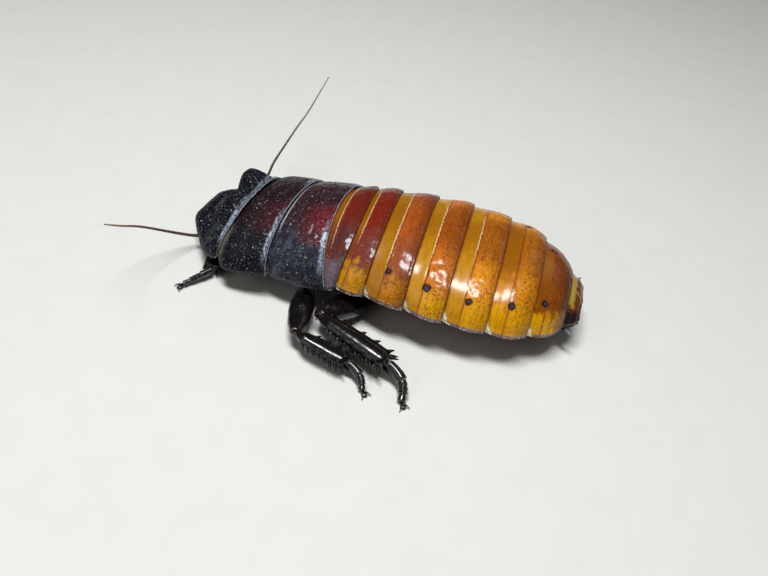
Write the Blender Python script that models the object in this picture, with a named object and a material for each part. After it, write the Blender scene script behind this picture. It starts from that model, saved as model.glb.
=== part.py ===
"""A life-size adult male Madagascar hissing cockroach, standing still.

Sizes are in millimetres and are turned into metres when a mesh is made. X runs to the
animal's left, Y from its head to its tail, and Z up from the floor that it stands on.
"""

import math

import bmesh
import bpy
from mathutils import Matrix, Vector

MM = 0.001
GAP = 0.3  # clear space between neighbouring pieces

# The frame's origin is on the floor, under the middle of the whole outline, feelers included.
MIDDLE_X = -1.17
MIDDLE_Y = 35.74

# Shell plates
PLATE_THICKNESS = 0.4
PLATE_STEP = 0.7  # how far a plate's front band lies below the hind edge before it
PLATE_TUCK = 1.2  # how far the front band reaches under the plate before it
SIDE_TUCK = 0.2  # part of that reach at the side margins
PLATE_BULGE = 0.15
PLATE_RISE = 0.6  # length of the slope behind the front band
PLATE_COLUMNS = 14
SIDE_INSET = 0.8  # at the side margins the plates lie closer together
CORE_INSET = PLATE_STEP + PLATE_THICKNESS + 1.5 * GAP

# The back behind the collar: place, half width, height, margin height.
BACK_RINGS = (
    (13.2, 10.4, 10.4, 4.7),
    (15.2, 11.0, 11.2, 4.6),
    (16.4, 12.3, 11.6, 4.5),
    (18.2, 12.4, 11.9, 4.6),
    (21.2, 12.1, 12.5, 4.9),
    (25.5, 12.2, 13.2, 5.2),
    (31.0, 12.2, 13.9, 5.8),
    (34.2, 12.3, 14.3, 6.3),
    (37.9, 12.8, 14.5, 6.8),
    (44.0, 13.7, 14.5, 7.1),
    (50.2, 14.1, 14.4, 7.1),
    (56.9, 13.5, 13.8, 6.7),
    (60.3, 12.6, 13.8, 6.3),
    (63.2, 11.1, 13.0, 5.9),
    (66.4, 8.9, 11.4, 5.4),
    (68.5, 6.5, 9.7, 5.2),
    (71.0, 4.2, 7.3, 5.3),
)
# Hind edge of each plate: name, place at the middle of the back, how much further forward it
# runs at the side margins, and how much it is turned, as millimetres for each one to the left.
PLATE_EDGES = (
    ("pronotum", 14.9, 1.2, 0.15),
    ("mesonotum", 21.8, -0.8, 0.12),
    ("metanotum", 29.4, -2.2, 0.03),
    ("tergite_1", 33.9, 1.4, 0.0),
    ("tergite_2", 37.9, 0.6, 0.0),
    ("tergite_3", 44.0, 0.0, 0.0),
    ("tergite_4", 50.2, 0.0, 0.0),
    ("tergite_5", 56.9, 0.0, 0.0),
    ("tergite_6", 63.2, 0.0, 0.0),
    ("tergite_7", 68.5, 0.0, 0.0),
    ("supra_anal_plate", 71.0, 0.0, 0.0),
)

# Collar plate over the head, with its two blunt horns
COLLAR_MIDDLE = (  # place, height
    (5.0, 5.05),
    (5.5, 5.4),
    (6.5, 5.7),
    (7.8, 5.9),
    (9.2, 6.15),
    (10.4, 7.2),
    (11.8, 9.0),
    (13.2, 10.4),
    (14.9, 11.3),
)
COLLAR_OUTLINE = (  # place, half width, height of the rim: blunt in front
    (5.0, 2.8, 5.0),
    (5.12, 3.5, 5.0),
    (5.5, 4.4, 4.9),
    (6.3, 5.5, 4.7),
    (7.3, 6.65, 4.5),
    (8.35, 7.75, 4.3),
    (10.0, 9.45, 4.1),
    (11.4, 10.5, 4.15),
    (12.7, 11.0, 4.3),
    (13.6, 11.1, 4.5),
    (14.9, 11.1, 4.7),
)
COLLAR_CORNER = 13.0  # where the rounded rim meets the straight side margin
COLLAR_THICKNESS = 0.5
COLLAR_ROWS = (5.0, 5.4, 6.2, 7.5, 9.0, 9.75, 10.25, 10.9, 11.9, 13.2, 14.9)
COLLAR_COLUMNS = 24
HORN_RISE = (  # place, height above the plate: steep in front and a long slope behind
    (9.0, 0.0),
    (9.5, 0.3),
    (9.8, 1.6),
    (10.0, 3.2),
    (10.3, 4.4),
    (10.8, 4.6),
    (11.4, 4.1),
    (12.0, 3.4),
    (12.8, 2.4),
    (13.6, 1.4),
    (14.4, 0.6),
    (14.9, 0.2),
)
HORN_LEFT = 0.66  # how high each horn stands, in parts of that
HORN_RIGHT = 0.95
HORN_SIDE = 3.8
HORN_WIDTH = 2.1

# The belly: place, height of its middle
BELLY = (
    (32.5, 4.8),
    (36.5, 4.7),
    (41.0, 3.6),
    (46.0, 2.4),
    (51.0, 1.9),
    (57.0, 2.1),
    (63.0, 2.7),
    (69.0, 3.3),
)
BELLY_WIDTH = 0.86  # as a part of the back's half width
BELLY_EDGE_DROP = 1.3  # belly edge below the back's side margin
BELLY_COLUMNS = 10
BELLY_EDGES = (33.9, 37.9, 44.0, 50.2, 56.9, 63.2)
SUBGENITAL_END = 69.6

# Soft trunk between the shells
THORAX_SPAN = (13.6, 31.8)
THORAX_FLOOR = 5.4
THORAX_FLOOR_PARTS = (-0.66, -0.2, 0.2, 0.66)  # points across the floor, as parts of the half width
ABDOMEN_SPAN = (32.9, 68.0)
NECK_START = (0.0, 10.8, 5.2)
NECK_END = (0.0, 12.7, 6.4)
NECK_RADIUS = 1.2

# Head
HEAD_TOP = (0.0, 7.9, 4.8)
HEAD_MOUTH = (0.0, 11.2, 1.7)
HEAD_SIDES = 14
HEAD_PROFILE = (
    (0.0, 1.2, 0.5),
    (0.06, 2.3, 1.0),
    (0.2, 3.35, 1.4),
    (0.42, 3.4, 1.6),
    (0.65, 2.85, 1.5),
    (0.85, 2.1, 1.2),
    (1.0, 1.5, 0.8),
)
LIP_LENGTH = 1.1
LIP_PROFILE = ((0.0, 1.3, 0.6), (0.6, 1.17, 0.5), (1.0, 0.7, 0.25))
EYE_PLACE = 0.26
EYE_SIDE = 3.55
EYE_SIZE = (0.45, 0.85, 1.2)
SCAPE_RADIUS = 0.5
FEELER_RADIUS_BASE = 0.4
FEELER_RADIUS_TIP = 0.26
FEELER_SIDES = 6
FEELER_POINTS = 18
PALP_RADIUS = 0.28

# Feelers, from the face outwards. The left one bows forward, the right one out and back.
FEELER_LEFT = (
    (2.3, 6.2, 2.9),
    (3.6, 6.2, 2.4),
    (4.9, 5.6, 2.8),
    (7.2, 3.8, 4.4),
    (10.0, 2.4, 6.7),
    (14.0, 0.9, 10.0),
    (18.9, 0.6, 13.7),
    (24.4, 2.1, 18.5),
)
FEELER_RIGHT = (
    (-2.3, 6.2, 3.0),
    (-4.3, 6.3, 2.4),
    (-7.2, 8.0, 2.4),
    (-10.6, 9.9, 3.0),
    (-13.4, 11.4, 5.2),
    (-14.8, 12.1, 7.5),
    (-17.0, 13.5, 10.5),
    (-19.8, 14.7, 13.0),
    (-23.2, 15.8, 15.1),
    (-29.6, 17.2, 19.0),
)
SCAPE_POINTS = 2  # route points that the thick first joint of a feeler covers
PALP_ROUTE = ((2.6, 10.6, 1.6), (3.4, 9.6, 1.2), (3.6, 8.3, 1.0), (2.9, 7.2, 0.9))

# Tail end
CERCI = {  # base and tip
    "left": ((4.5, 68.3, 4.4), (6.9, 70.7, 4.6)),
    "right": ((-4.7, 68.4, 4.4), (-7.6, 71.1, 5.1)),
}
CERCUS_RADIUS = 0.42

# Hips of the left side, from the base at the side to the end under the body. The right side mirrors them.
HIPS = {
    "fore": ((6.0, 12.4, 4.2), (3.6, 17.5, 4.2)),
    "mid": ((8.2, 19.6, 4.1), (7.4, 26.4, 4.0)),
    "hind": ((7.6, 28.4, 3.9), (5.8, 38.2, 3.5)),
}
# Knee, ankle and foot of each leg
LEGS = {
    "fore_left": ((5.6, 10.0, 2.3), (10.6, 11.2, 1.7), (14.6, 7.9, 0.66)),
    "mid_left": ((21.2, 29.4, 3.8), (22.9, 38.4, 2.6), (25.6, 41.6, 0.66)),
    "hind_left": ((16.7, 31.6, 4.2), (21.4, 44.2, 3.2), (25.7, 47.7, 0.66)),
    "fore_right": ((-5.8, 10.4, 2.3), (-10.6, 12.2, 1.7), (-15.2, 9.3, 0.66)),
    "mid_right": ((-17.2, 27.0, 3.2), (-19.5, 36.6, 2.2), (-22.5, 41.5, 0.66)),
    "hind_right": ((-15.8, 32.4, 3.7), (-18.2, 45.8, 2.6), (-21.5, 50.8, 0.66)),
}
LEG_SIZE = {"fore": 0.82, "mid": 0.95, "hind": 1.15}
KNEE_SPACE = 1.3  # from the knee joint to the shin's end, on a leg of size 1
KNUCKLE_DROP = 2.3  # the thigh's start below the hip's end
KNUCKLE_REACH = 0.6  # and how far beyond it
LEG_SIDES = 8
# Along each leg piece: part of its length, half breadth, half depth
HIP_PROFILE = ((0.0, 1.4, 0.45), (0.15, 2.4, 0.8), (0.5, 2.6, 0.9), (0.85, 1.4, 0.65), (1.0, 0.6, 0.4))
THIGH_PROFILE = ((0.0, 0.55, 0.45), (0.12, 1.15, 0.8), (0.5, 2.1, 1.4), (0.82, 1.6, 1.15), (0.96, 0.55, 0.5))
SHIN_PROFILE = ((0.0, 0.6, 0.55), (0.1, 1.0, 0.85), (0.55, 1.4, 1.1), (0.9, 1.45, 1.15), (1.0, 0.8, 0.7))
SHIN_SPINES = 4  # in each of two rows
SPINE_BASE = 0.22  # margin left round a spine's foot
SPINE_LENGTH = 1.1
SPINE_LEAN = 0.75
SPINE_DROOP = 0.35  # how far the rows of spines face down
FOOT_SIDES = 6
FOOT_RADIUS = 0.66
FOOT_BEND = 0.75  # below 1 puts the bend nearer to the ankle
FOOT_JOINTS = 4
FOOT_SWELL = ((0.12, 0.75), (0.8, 1.1))  # along one joint of the foot: part of its length, thickness
FOOT_BOW = {"fore": 0.0, "mid": 0.9, "hind": 1.3}  # how far the middle of a foot curves back
PAD_START = 0.35
PAD_LENGTH = 0.9
PAD_HALF_WIDTH = 0.55
PAD_HALF_HEIGHT = 0.35
CLAW_BASE = 0.12  # margin left round a claw's foot
CLAW_LENGTH = 0.7
CLAW_SPREAD = 0.55
CLAW_LIFT = 0.35
CLAW_TIP_HEIGHT = 0.15

# Colours as linear values, with the gloss of wet-looking shell
BLACK_SHELL = (0.012, 0.010, 0.012, 1.0)
RED_SHELL = (0.11, 0.018, 0.012, 1.0)
AMBER_SHELL = (0.47, 0.19, 0.03, 1.0)
BELLY_SHELL = (0.20, 0.065, 0.02, 1.0)
SOFT_SKIN = (0.62, 0.47, 0.28, 1.0)
LEG_SHELL = (0.014, 0.010, 0.010, 1.0)
FEELER_BROWN = (0.07, 0.025, 0.018, 1.0)
EYE_BLACK = (0.01, 0.008, 0.01, 1.0)


def clear_scene():
    for item in list(bpy.data.objects):
        bpy.data.objects.remove(item, do_unlink=True)


def material(name, colour, roughness):
    made = bpy.data.materials.get(name)
    if made is None:
        made = bpy.data.materials.new(name)
        made.use_nodes = True
        shader = made.node_tree.nodes["Principled BSDF"]
        shader.inputs["Base Color"].default_value = colour
        shader.inputs["Roughness"].default_value = roughness
        shader.inputs["Metallic"].default_value = 0.0
    return made


def finish_object(name, shape, finish):
    """Turn a bmesh in millimetres into a named object in metres."""
    shift = Vector((-MIDDLE_X, -MIDDLE_Y, 0.0))
    for vertex in shape.verts:
        vertex.co = (vertex.co + shift) * MM
    bmesh.ops.recalc_face_normals(shape, faces=shape.faces)
    if shape.calc_volume(signed=True) < 0.0:
        bmesh.ops.reverse_faces(shape, faces=shape.faces)
    mesh = bpy.data.meshes.new(name)
    shape.to_mesh(mesh)
    shape.free()
    mesh.materials.append(material(*finish))
    mesh.shade_smooth()
    made = bpy.data.objects.new(name, mesh)
    bpy.context.scene.collection.objects.link(made)
    return made


def follow(stations, place):
    """Values read at a place from a smooth curve through stations that start with their place."""
    last = len(stations) - 1
    place = min(max(place, stations[0][0]), stations[last][0])
    index = 0
    while index < last - 1 and place > stations[index + 1][0]:
        index += 1

    def slope(i, column):
        before = stations[max(i - 1, 0)]
        after = stations[min(i + 1, last)]
        return (after[column] - before[column]) / (after[0] - before[0])

    start, end = stations[index], stations[index + 1]
    span = end[0] - start[0]
    t = (place - start[0]) / span
    values = []
    for column in range(1, len(start)):
        rise = (2 * t**3 - 3 * t**2 + 1) * start[column] + (3 * t**2 - 2 * t**3) * end[column]
        lean_in = (t**3 - 2 * t**2 + t) * span * slope(index, column)
        lean_out = (t**3 - t**2) * span * slope(index + 1, column)
        values.append(rise + lean_in + lean_out)
    return values


def back_ring(place):
    """Half width, height and margin height of the back behind the collar."""
    return follow(BACK_RINGS, place)


def arch_point(ring, place, angle, inset):
    """Point on the arch of a back ring, or on one that lies deeper by an inset."""
    half, height, margin = ring
    x = max(half - inset * SIDE_INSET, 0.4 * half) * math.cos(angle)
    z = margin + (height - margin - inset) * math.sin(angle)
    return Vector((x, place, z))


def back_point(place, angle, inset):
    return arch_point(back_ring(place), place, angle, inset)


def edge_shift(sweep, turn, x, angle):
    """How far back a plate's edge lies at one point, measured from its middle."""
    return -sweep * (1.0 - math.sin(angle)) - turn * x


def belly_point(place, angle, inset):
    half, _, margin = back_ring(place)
    edge = margin - BELLY_EDGE_DROP
    lowest = follow(BELLY, place)[0]
    x = (half * BELLY_WIDTH - inset) * math.cos(angle)
    z = edge - (edge - lowest - inset) * math.sin(angle)
    return Vector((x, place, z))


def half_turn(columns):
    return [math.pi * i / columns for i in range(columns + 1)]


def shell_between(outer_rows, inner_rows):
    """Closed plate between an outer and an inner grid of points of the same size."""
    shape = bmesh.new()
    outer = [[shape.verts.new(point) for point in row] for row in outer_rows]
    inner = [[shape.verts.new(point) for point in row] for row in inner_rows]
    rows, columns = len(outer), len(outer[0])
    for grid in (outer, inner):
        for i in range(rows - 1):
            for j in range(columns - 1):
                shape.faces.new((grid[i][j], grid[i][j + 1], grid[i + 1][j + 1], grid[i + 1][j]))
    for j in range(columns - 1):
        for i in (0, rows - 1):
            shape.faces.new((outer[i][j], outer[i][j + 1], inner[i][j + 1], inner[i][j]))
    for i in range(rows - 1):
        for j in (0, columns - 1):
            shape.faces.new((outer[i][j], outer[i + 1][j], inner[i + 1][j], inner[i][j]))
    return shape


def plate_profile(front, hind):
    """Place and depth of each row: the front band lies low, and the hind edge stands proud."""
    length = hind - front
    return (
        (front - PLATE_TUCK, PLATE_STEP),
        (front + 0.15, PLATE_STEP),
        (front + min(PLATE_RISE, 0.28 * length), 0.35 * PLATE_STEP),
        (front + 0.55 * length, -PLATE_BULGE),
        (hind, 0.05),
    )


def plate_grid(edges, profile, columns, depth):
    """Rows of points of one face of a back plate, between its front and its hind edge."""
    (_, front, *front_lean), (_, hind, *hind_lean) = edges
    rows = []
    for place, drop in profile:
        part = min(max((place - front) / (hind - front), 0.0), 1.0)
        row = []
        for angle in half_turn(columns):
            reach = max(front - place, 0.0) * (1.0 - SIDE_TUCK) * (1.0 - math.sin(angle))
            point = back_point(place + reach, angle, drop + depth)
            first = edge_shift(*front_lean, point.x, angle)
            last = edge_shift(*hind_lean, point.x, angle)
            point.y += first + (last - first) * part
            row.append(point)
        rows.append(row)
    return rows


def make_back_plate(before, plate, finish):
    profile = plate_profile(before[1], plate[1])
    outer = plate_grid((before, plate), profile, PLATE_COLUMNS, 0.0)
    inner = plate_grid((before, plate), profile, PLATE_COLUMNS, PLATE_THICKNESS)
    return finish_object(plate[0], shell_between(outer, inner), finish)


def make_belly_plate(name, front, hind, finish):
    profile = plate_profile(front, hind)
    angles = half_turn(BELLY_COLUMNS)
    outer = [[belly_point(y, a, drop) for a in angles] for y, drop in profile]
    inner = [[belly_point(y, a, drop + PLATE_THICKNESS) for a in angles] for y, drop in profile]
    return finish_object(name, shell_between(outer, inner), finish)


def collar_ring(place):
    """Half width, height and margin height of the collar, whose front rim is blunt."""
    half, margin = follow(COLLAR_OUTLINE, place)
    return half, follow(COLLAR_MIDDLE, place)[0], margin


def horn_rise(x, y):
    """Height that the two blunt horns add to the collar plate."""
    across = (abs(x) - HORN_SIDE) / HORN_WIDTH
    tallness = HORN_LEFT if x > 0.0 else HORN_RIGHT
    return follow(HORN_RISE, y)[0] * math.exp(-(across**4)) * tallness


def make_collar():
    _, hind, sweep, turn = PLATE_EDGES[0]
    pivot = Vector((0.0, hind, 0.0))
    turned = Matrix.Rotation(-math.asin(turn), 4, "Z")
    outer, inner = [], []
    for place in COLLAR_ROWS:
        ring = collar_ring(place)
        swept = sweep * max((place - COLLAR_CORNER) / (hind - COLLAR_CORNER), 0.0)
        for depth, rows in ((0.0, outer), (COLLAR_THICKNESS, inner)):
            row = []
            for angle in half_turn(COLLAR_COLUMNS):
                point = arch_point(ring, place, angle, depth)
                if depth == 0.0:
                    point.z += horn_rise(point.x, point.y)
                point.y += edge_shift(swept, 0.0, point.x, angle)
                row.append(pivot + turned @ (point - pivot))
            rows.append(row)
    return finish_object("pronotum", shell_between(outer, inner), ("black_shell", BLACK_SHELL, 0.45))


def make_back():
    black = ("black_shell", BLACK_SHELL, 0.45)
    red = ("red_shell", RED_SHELL, 0.3)
    amber = ("amber_shell", AMBER_SHELL, 0.25)
    finishes = {"mesonotum": black, "metanotum": black, "tergite_1": red, "tergite_2": red}
    for before, plate in zip(PLATE_EDGES, PLATE_EDGES[1:]):
        make_back_plate(before, plate, finishes.get(plate[0], amber))


def make_belly():
    finish = ("belly_shell", BELLY_SHELL, 0.3)
    for number, (front, hind) in enumerate(zip(BELLY_EDGES, BELLY_EDGES[1:]), start=2):
        make_belly_plate(f"sternite_{number}", front, hind, finish)
    make_belly_plate("subgenital_plate", BELLY_EDGES[-1], SUBGENITAL_END, finish)


def loft(rings):
    """Closed body through rings of the same number of points, with flat ends."""
    shape = bmesh.new()
    loops = [[shape.verts.new(point) for point in ring] for ring in rings]
    count = len(loops[0])
    for first, second in zip(loops, loops[1:]):
        for i in range(count):
            j = (i + 1) % count
            shape.faces.new((first[i], first[j], second[j], second[i]))
    shape.faces.new(loops[0])
    shape.faces.new(loops[-1])
    return shape


def spread(span, count):
    start, end = span
    return [start + (end - start) * i / (count - 1) for i in range(count)]


def turn_with_plates(point):
    """Move a point of the trunk by the turn of the plates over it."""
    turn = follow([(place, turned) for _, place, _, turned in PLATE_EDGES], point.y)[0]
    return Vector((point.x, point.y - turn * point.x, point.z))


def make_trunk():
    flesh = ("soft_skin", SOFT_SKIN, 0.5)
    upper = [math.radians(a) for a in range(15, 166, 15)]
    rings = []
    for y in spread(THORAX_SPAN, 7):
        half = back_ring(y)[0]
        arch = [back_point(y, a, CORE_INSET) for a in upper]
        under = [Vector((part * half, y, THORAX_FLOOR)) for part in THORAX_FLOOR_PARTS]
        rings.append([turn_with_plates(point) for point in arch + under])
    finish_object("thorax_core", loft(rings), flesh)

    lower = [math.radians(a) for a in range(160, 19, -20)]
    rings = []
    for y in spread(ABDOMEN_SPAN, 9):
        arch = [back_point(y, a, CORE_INSET) for a in upper]
        rings.append(arch + [belly_point(y, a, CORE_INSET + 2 * GAP) for a in lower])
    finish_object("abdomen_core", loft(rings), flesh)


def side_axes(direction, up=Vector((0.0, 0.0, 1.0))):
    """Across and depth directions of a limb that runs along a direction."""
    across = direction.cross(up).normalized()
    return across, across.cross(direction).normalized()


def limb(start, end, profile, sides, size=1.0):
    """Closed limb along a straight line, from a profile of half breadth and half depth."""
    start, end = Vector(start), Vector(end)
    direction = (end - start).normalized()
    across, depth = side_axes(direction)
    rings = []
    for part, breadth, thick in profile:
        centre = start.lerp(end, part)
        ring = []
        for i in range(sides):
            angle = 2 * math.pi * (i + 0.5) / sides
            ring.append(
                centre
                + across * (math.cos(angle) * breadth * size)
                + depth * (math.sin(angle) * thick * size)
            )
        rings.append(ring)
    return loft(rings)


def smooth_route(points, count):
    """Points evenly shared out along a smooth curve through the route's own points."""
    stations = [(float(i), *point) for i, point in enumerate(points)]
    return [Vector(follow(stations, place)) for place in spread((0.0, len(points) - 1.0), count)]


def tube(route, radii, sides):
    rings = []
    for i, centre in enumerate(route):
        ahead = route[min(i + 1, len(route) - 1)] - route[max(i - 1, 0)]
        across, depth = side_axes(ahead.normalized())
        ring = []
        for k in range(sides):
            angle = 2 * math.pi * (k + 0.5) / sides
            ring.append(centre + (across * math.cos(angle) + depth * math.sin(angle)) * radii[i])
        rings.append(ring)
    return loft(rings)


def make_head():
    black = ("head_shell", BLACK_SHELL, 0.3)
    finish_object("head", limb(HEAD_TOP, HEAD_MOUTH, HEAD_PROFILE, HEAD_SIDES), black)

    top, mouth = Vector(HEAD_TOP), Vector(HEAD_MOUTH)
    down = (mouth - top).normalized()
    lip_start = mouth + down * GAP
    lip = limb(lip_start, lip_start + down * LIP_LENGTH, LIP_PROFILE, LEG_SIDES)
    finish_object("mouthparts", lip, black)

    for side, sign in (("left", 1), ("right", -1)):
        eye = bmesh.new()
        bmesh.ops.create_uvsphere(eye, u_segments=8, v_segments=6, radius=1.0)
        centre = top.lerp(mouth, EYE_PLACE) + Vector((sign * (EYE_SIDE + GAP + EYE_SIZE[0]), 0.0, 0.0))
        across, depth = side_axes(down)
        for vertex in eye.verts:
            local = vertex.co.copy()
            vertex.co = centre + across * (local.x * EYE_SIZE[0])
            vertex.co += depth * (local.y * EYE_SIZE[1]) + down * (local.z * EYE_SIZE[2])
        finish_object(f"eye_{side}", eye, ("eye_black", EYE_BLACK, 0.15))

        route = smooth_route([(sign * x, y, z) for x, y, z in PALP_ROUTE], 7)
        palp = tube(route, [PALP_RADIUS] * len(route), FOOT_SIDES)
        finish_object(f"palp_{side}", palp, ("feeler_brown", FEELER_BROWN, 0.35))

    neck = limb(NECK_START, NECK_END, ((0.0, 1.0, 0.8), (1.0, 1.0, 0.8)), LEG_SIDES, NECK_RADIUS)
    finish_object("neck", neck, ("soft_skin", SOFT_SKIN, 0.5))


def make_feelers():
    finish = ("feeler_brown", FEELER_BROWN, 0.35)
    for side, points in (("left", FEELER_LEFT), ("right", FEELER_RIGHT)):
        first, second = Vector(points[0]), Vector(points[1])
        along = (second - first).normalized()
        scape_profile = ((0.0, 0.6, 0.6), (0.3, 1.0, 1.0), (0.8, 1.0, 1.0), (1.0, 0.7, 0.7))
        scape = limb(first, second - along * GAP, scape_profile, LEG_SIDES, SCAPE_RADIUS)
        finish_object(f"scape_{side}", scape, finish)

        route = smooth_route([tuple(second + along * GAP * 0.3), *points[SCAPE_POINTS:]], FEELER_POINTS)
        radii = spread((FEELER_RADIUS_BASE, FEELER_RADIUS_TIP), FEELER_POINTS)
        finish_object(f"antenna_{side}", tube(route, radii, FEELER_SIDES), finish)


def spine_out(shape, face, outward, along):
    """Pull a narrow spine out of the middle of one face, leaning along the limb."""
    middle = face.calc_center_median()
    bmesh.ops.inset_region(shape, faces=[face], thickness=SPINE_BASE, use_even_offset=True)
    poked = bmesh.ops.poke(shape, faces=[face])
    poked["verts"][0].co = middle + outward * SPINE_LENGTH + along * SPINE_LEAN


def make_shin(name, knee, ankle, size, finish):
    direction = (ankle - knee).normalized()
    start = knee + direction * KNEE_SPACE * size
    across, depth = side_axes(direction)
    rows = SHIN_SPINES
    profile = [SHIN_PROFILE[0]]
    for part in spread((SHIN_PROFILE[1][0], SHIN_PROFILE[3][0]), rows + 1):
        profile.append((part, *follow(SHIN_PROFILE, part)))
    profile.append(SHIN_PROFILE[4])
    shape = limb(start, ankle, profile, LEG_SIDES, size)
    shape.faces.ensure_lookup_table()
    chosen = []
    for row in range(rows):
        for side in (across, -across):
            wanted = (side - Vector((0.0, 0.0, SPINE_DROOP))).normalized()
            ring_faces = shape.faces[(row + 1) * LEG_SIDES:(row + 2) * LEG_SIDES]
            face = max(ring_faces, key=lambda f: (f.calc_center_median() - knee.lerp(ankle, 0.5)).dot(wanted))
            chosen.append((face, wanted))
    for face, wanted in chosen:
        spine_out(shape, face, wanted, direction)
    finish_object(name, shape, finish)


def make_foot(name, ankle, foot, size, bow, finish):
    """Jointed foot that ends in a flat pad on the floor, with two claws."""
    direction = (foot - ankle).normalized()
    flat = Vector((direction.x, direction.y, 0.0)).normalized()
    start = ankle + direction * (GAP + 0.2)
    route, radii = [], []
    for joint in range(FOOT_JOINTS):
        for part, swell in FOOT_SWELL:
            along = (joint + part) / FOOT_JOINTS
            bent = bow * math.sin(math.pi * along**FOOT_BEND)
            route.append(start.lerp(foot, along) + Vector((0.0, bent, 0.0)))
            radii.append(FOOT_RADIUS * size * swell)
    radii = [min(radius, point.z) for radius, point in zip(radii, route)]
    rings = []
    for centre, radius in zip(route, radii):
        across, depth = side_axes(direction)
        ring = []
        for k in range(FOOT_SIDES):
            angle = 2 * math.pi * (k + 0.5) / FOOT_SIDES
            ring.append(centre + (across * math.cos(angle) + depth * math.sin(angle)) * radius)
        rings.append(ring)
    across = flat.cross(Vector((0.0, 0.0, 1.0)))
    for reach in (PAD_START, PAD_START + PAD_LENGTH):
        centre = Vector((foot.x, foot.y, 0.0)) + flat * reach
        ring = []
        for k in range(FOOT_SIDES):
            angle = 2 * math.pi * (k + 0.5) / FOOT_SIDES
            side = across * (math.cos(angle) * PAD_HALF_WIDTH)
            height = 0.0 if math.sin(angle) < 0.0 else PAD_HALF_HEIGHT * (1.0 + math.sin(angle))
            ring.append(centre + side + Vector((0.0, 0.0, height)))
        rings.append(ring)
    for ring in rings:
        for point in ring:
            point.z = max(point.z, 0.0)
    shape = loft(rings)
    shape.faces.ensure_lookup_table()
    tip_band = shape.faces[(len(rings) - 2) * FOOT_SIDES:(len(rings) - 1) * FOOT_SIDES]
    tip = Vector((foot.x, foot.y, 0.0)) + flat * PAD_LENGTH
    claws = []
    for sign in (1, -1):
        wanted = across * sign + Vector((0.0, 0.0, CLAW_LIFT))
        claws.append((max(tip_band, key=lambda f: (f.calc_center_median() - tip).dot(wanted)), sign))
    for face, sign in claws:
        middle = face.calc_center_median()
        bmesh.ops.inset_region(shape, faces=[face], thickness=CLAW_BASE, use_even_offset=True)
        poked = bmesh.ops.poke(shape, faces=[face])
        point = middle + flat * CLAW_LENGTH + across * sign * CLAW_SPREAD
        point.z = CLAW_TIP_HEIGHT
        poked["verts"][0].co = point
    finish_object(name, shape, finish)


def make_leg(name, joints):
    finish = ("leg_shell", LEG_SHELL, 0.2)
    pair, side = name.split("_")
    size = LEG_SIZE[pair]
    sign = 1.0 if side == "left" else -1.0
    base, hip_end = (Vector((sign * x, y, z)) for x, y, z in HIPS[pair])
    knee, ankle, foot = (Vector(joint) for joint in joints)
    finish_object(f"coxa_{name}", limb(base, hip_end, HIP_PROFILE, LEG_SIDES, size), finish)
    knuckle = hip_end + (hip_end - base).normalized() * KNUCKLE_REACH
    knuckle.z -= KNUCKLE_DROP
    thigh = limb(knuckle, knee, THIGH_PROFILE, LEG_SIDES, size)
    finish_object(f"femur_{name}", thigh, finish)
    make_shin(f"tibia_{name}", knee, ankle, size, finish)
    make_foot(f"tarsus_{name}", ankle, foot, size, FOOT_BOW[pair], finish)


def make_tail():
    finish = ("feeler_brown", FEELER_BROWN, 0.35)
    profile = ((0.0, 0.8, 0.8), (0.4, 1.0, 1.0), (0.8, 0.65, 0.65), (1.0, 0.4, 0.4))
    for side, (start, end) in CERCI.items():
        finish_object(f"cercus_{side}", limb(start, end, profile, FOOT_SIDES, CERCUS_RADIUS), finish)


def build():
    clear_scene()
    make_collar()
    make_back()
    make_belly()
    make_trunk()
    make_head()
    make_feelers()
    make_tail()
    for name, joints in LEGS.items():
        make_leg(name, joints)


build()
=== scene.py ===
"""Looks of a life-size adult male Madagascar hissing cockroach, standing still.

Shapes are worked out in millimetres and turned into metres when a mesh is made. X runs to
the animal's left, Y from its head to its tail, and Z up from the floor that it stands on.
"""

import itertools
import math

import bpy
import numpy as np
from mathutils import Matrix, Vector


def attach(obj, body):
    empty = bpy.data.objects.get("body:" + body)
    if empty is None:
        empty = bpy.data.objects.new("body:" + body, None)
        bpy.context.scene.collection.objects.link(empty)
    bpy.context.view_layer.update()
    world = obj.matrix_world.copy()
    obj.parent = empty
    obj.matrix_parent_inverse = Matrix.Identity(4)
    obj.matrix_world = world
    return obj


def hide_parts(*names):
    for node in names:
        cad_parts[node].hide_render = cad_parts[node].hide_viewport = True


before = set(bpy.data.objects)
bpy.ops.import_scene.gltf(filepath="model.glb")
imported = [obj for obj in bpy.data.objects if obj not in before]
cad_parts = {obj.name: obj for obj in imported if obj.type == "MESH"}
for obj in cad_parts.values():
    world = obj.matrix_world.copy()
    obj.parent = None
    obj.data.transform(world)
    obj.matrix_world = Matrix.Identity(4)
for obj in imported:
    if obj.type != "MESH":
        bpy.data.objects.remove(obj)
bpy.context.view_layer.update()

MM = 0.001
MIDDLE_X = -1.17
MIDDLE_Y = 35.74

# The camera, in the same millimetres, with the width of its sensor in the usual units
CAMERA_PLACE = (94.53, 53.01, 86.43)
CAMERA_RIGHT = (-0.25569, 0.95974, 0.11630)
CAMERA_UP = (-0.63977, -0.25817, 0.72391)
CAMERA_BACK = (0.72478, 0.11069, 0.68002)
CAMERA_LENS = 34.64
CAMERA_SENSOR = 36.0

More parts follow.
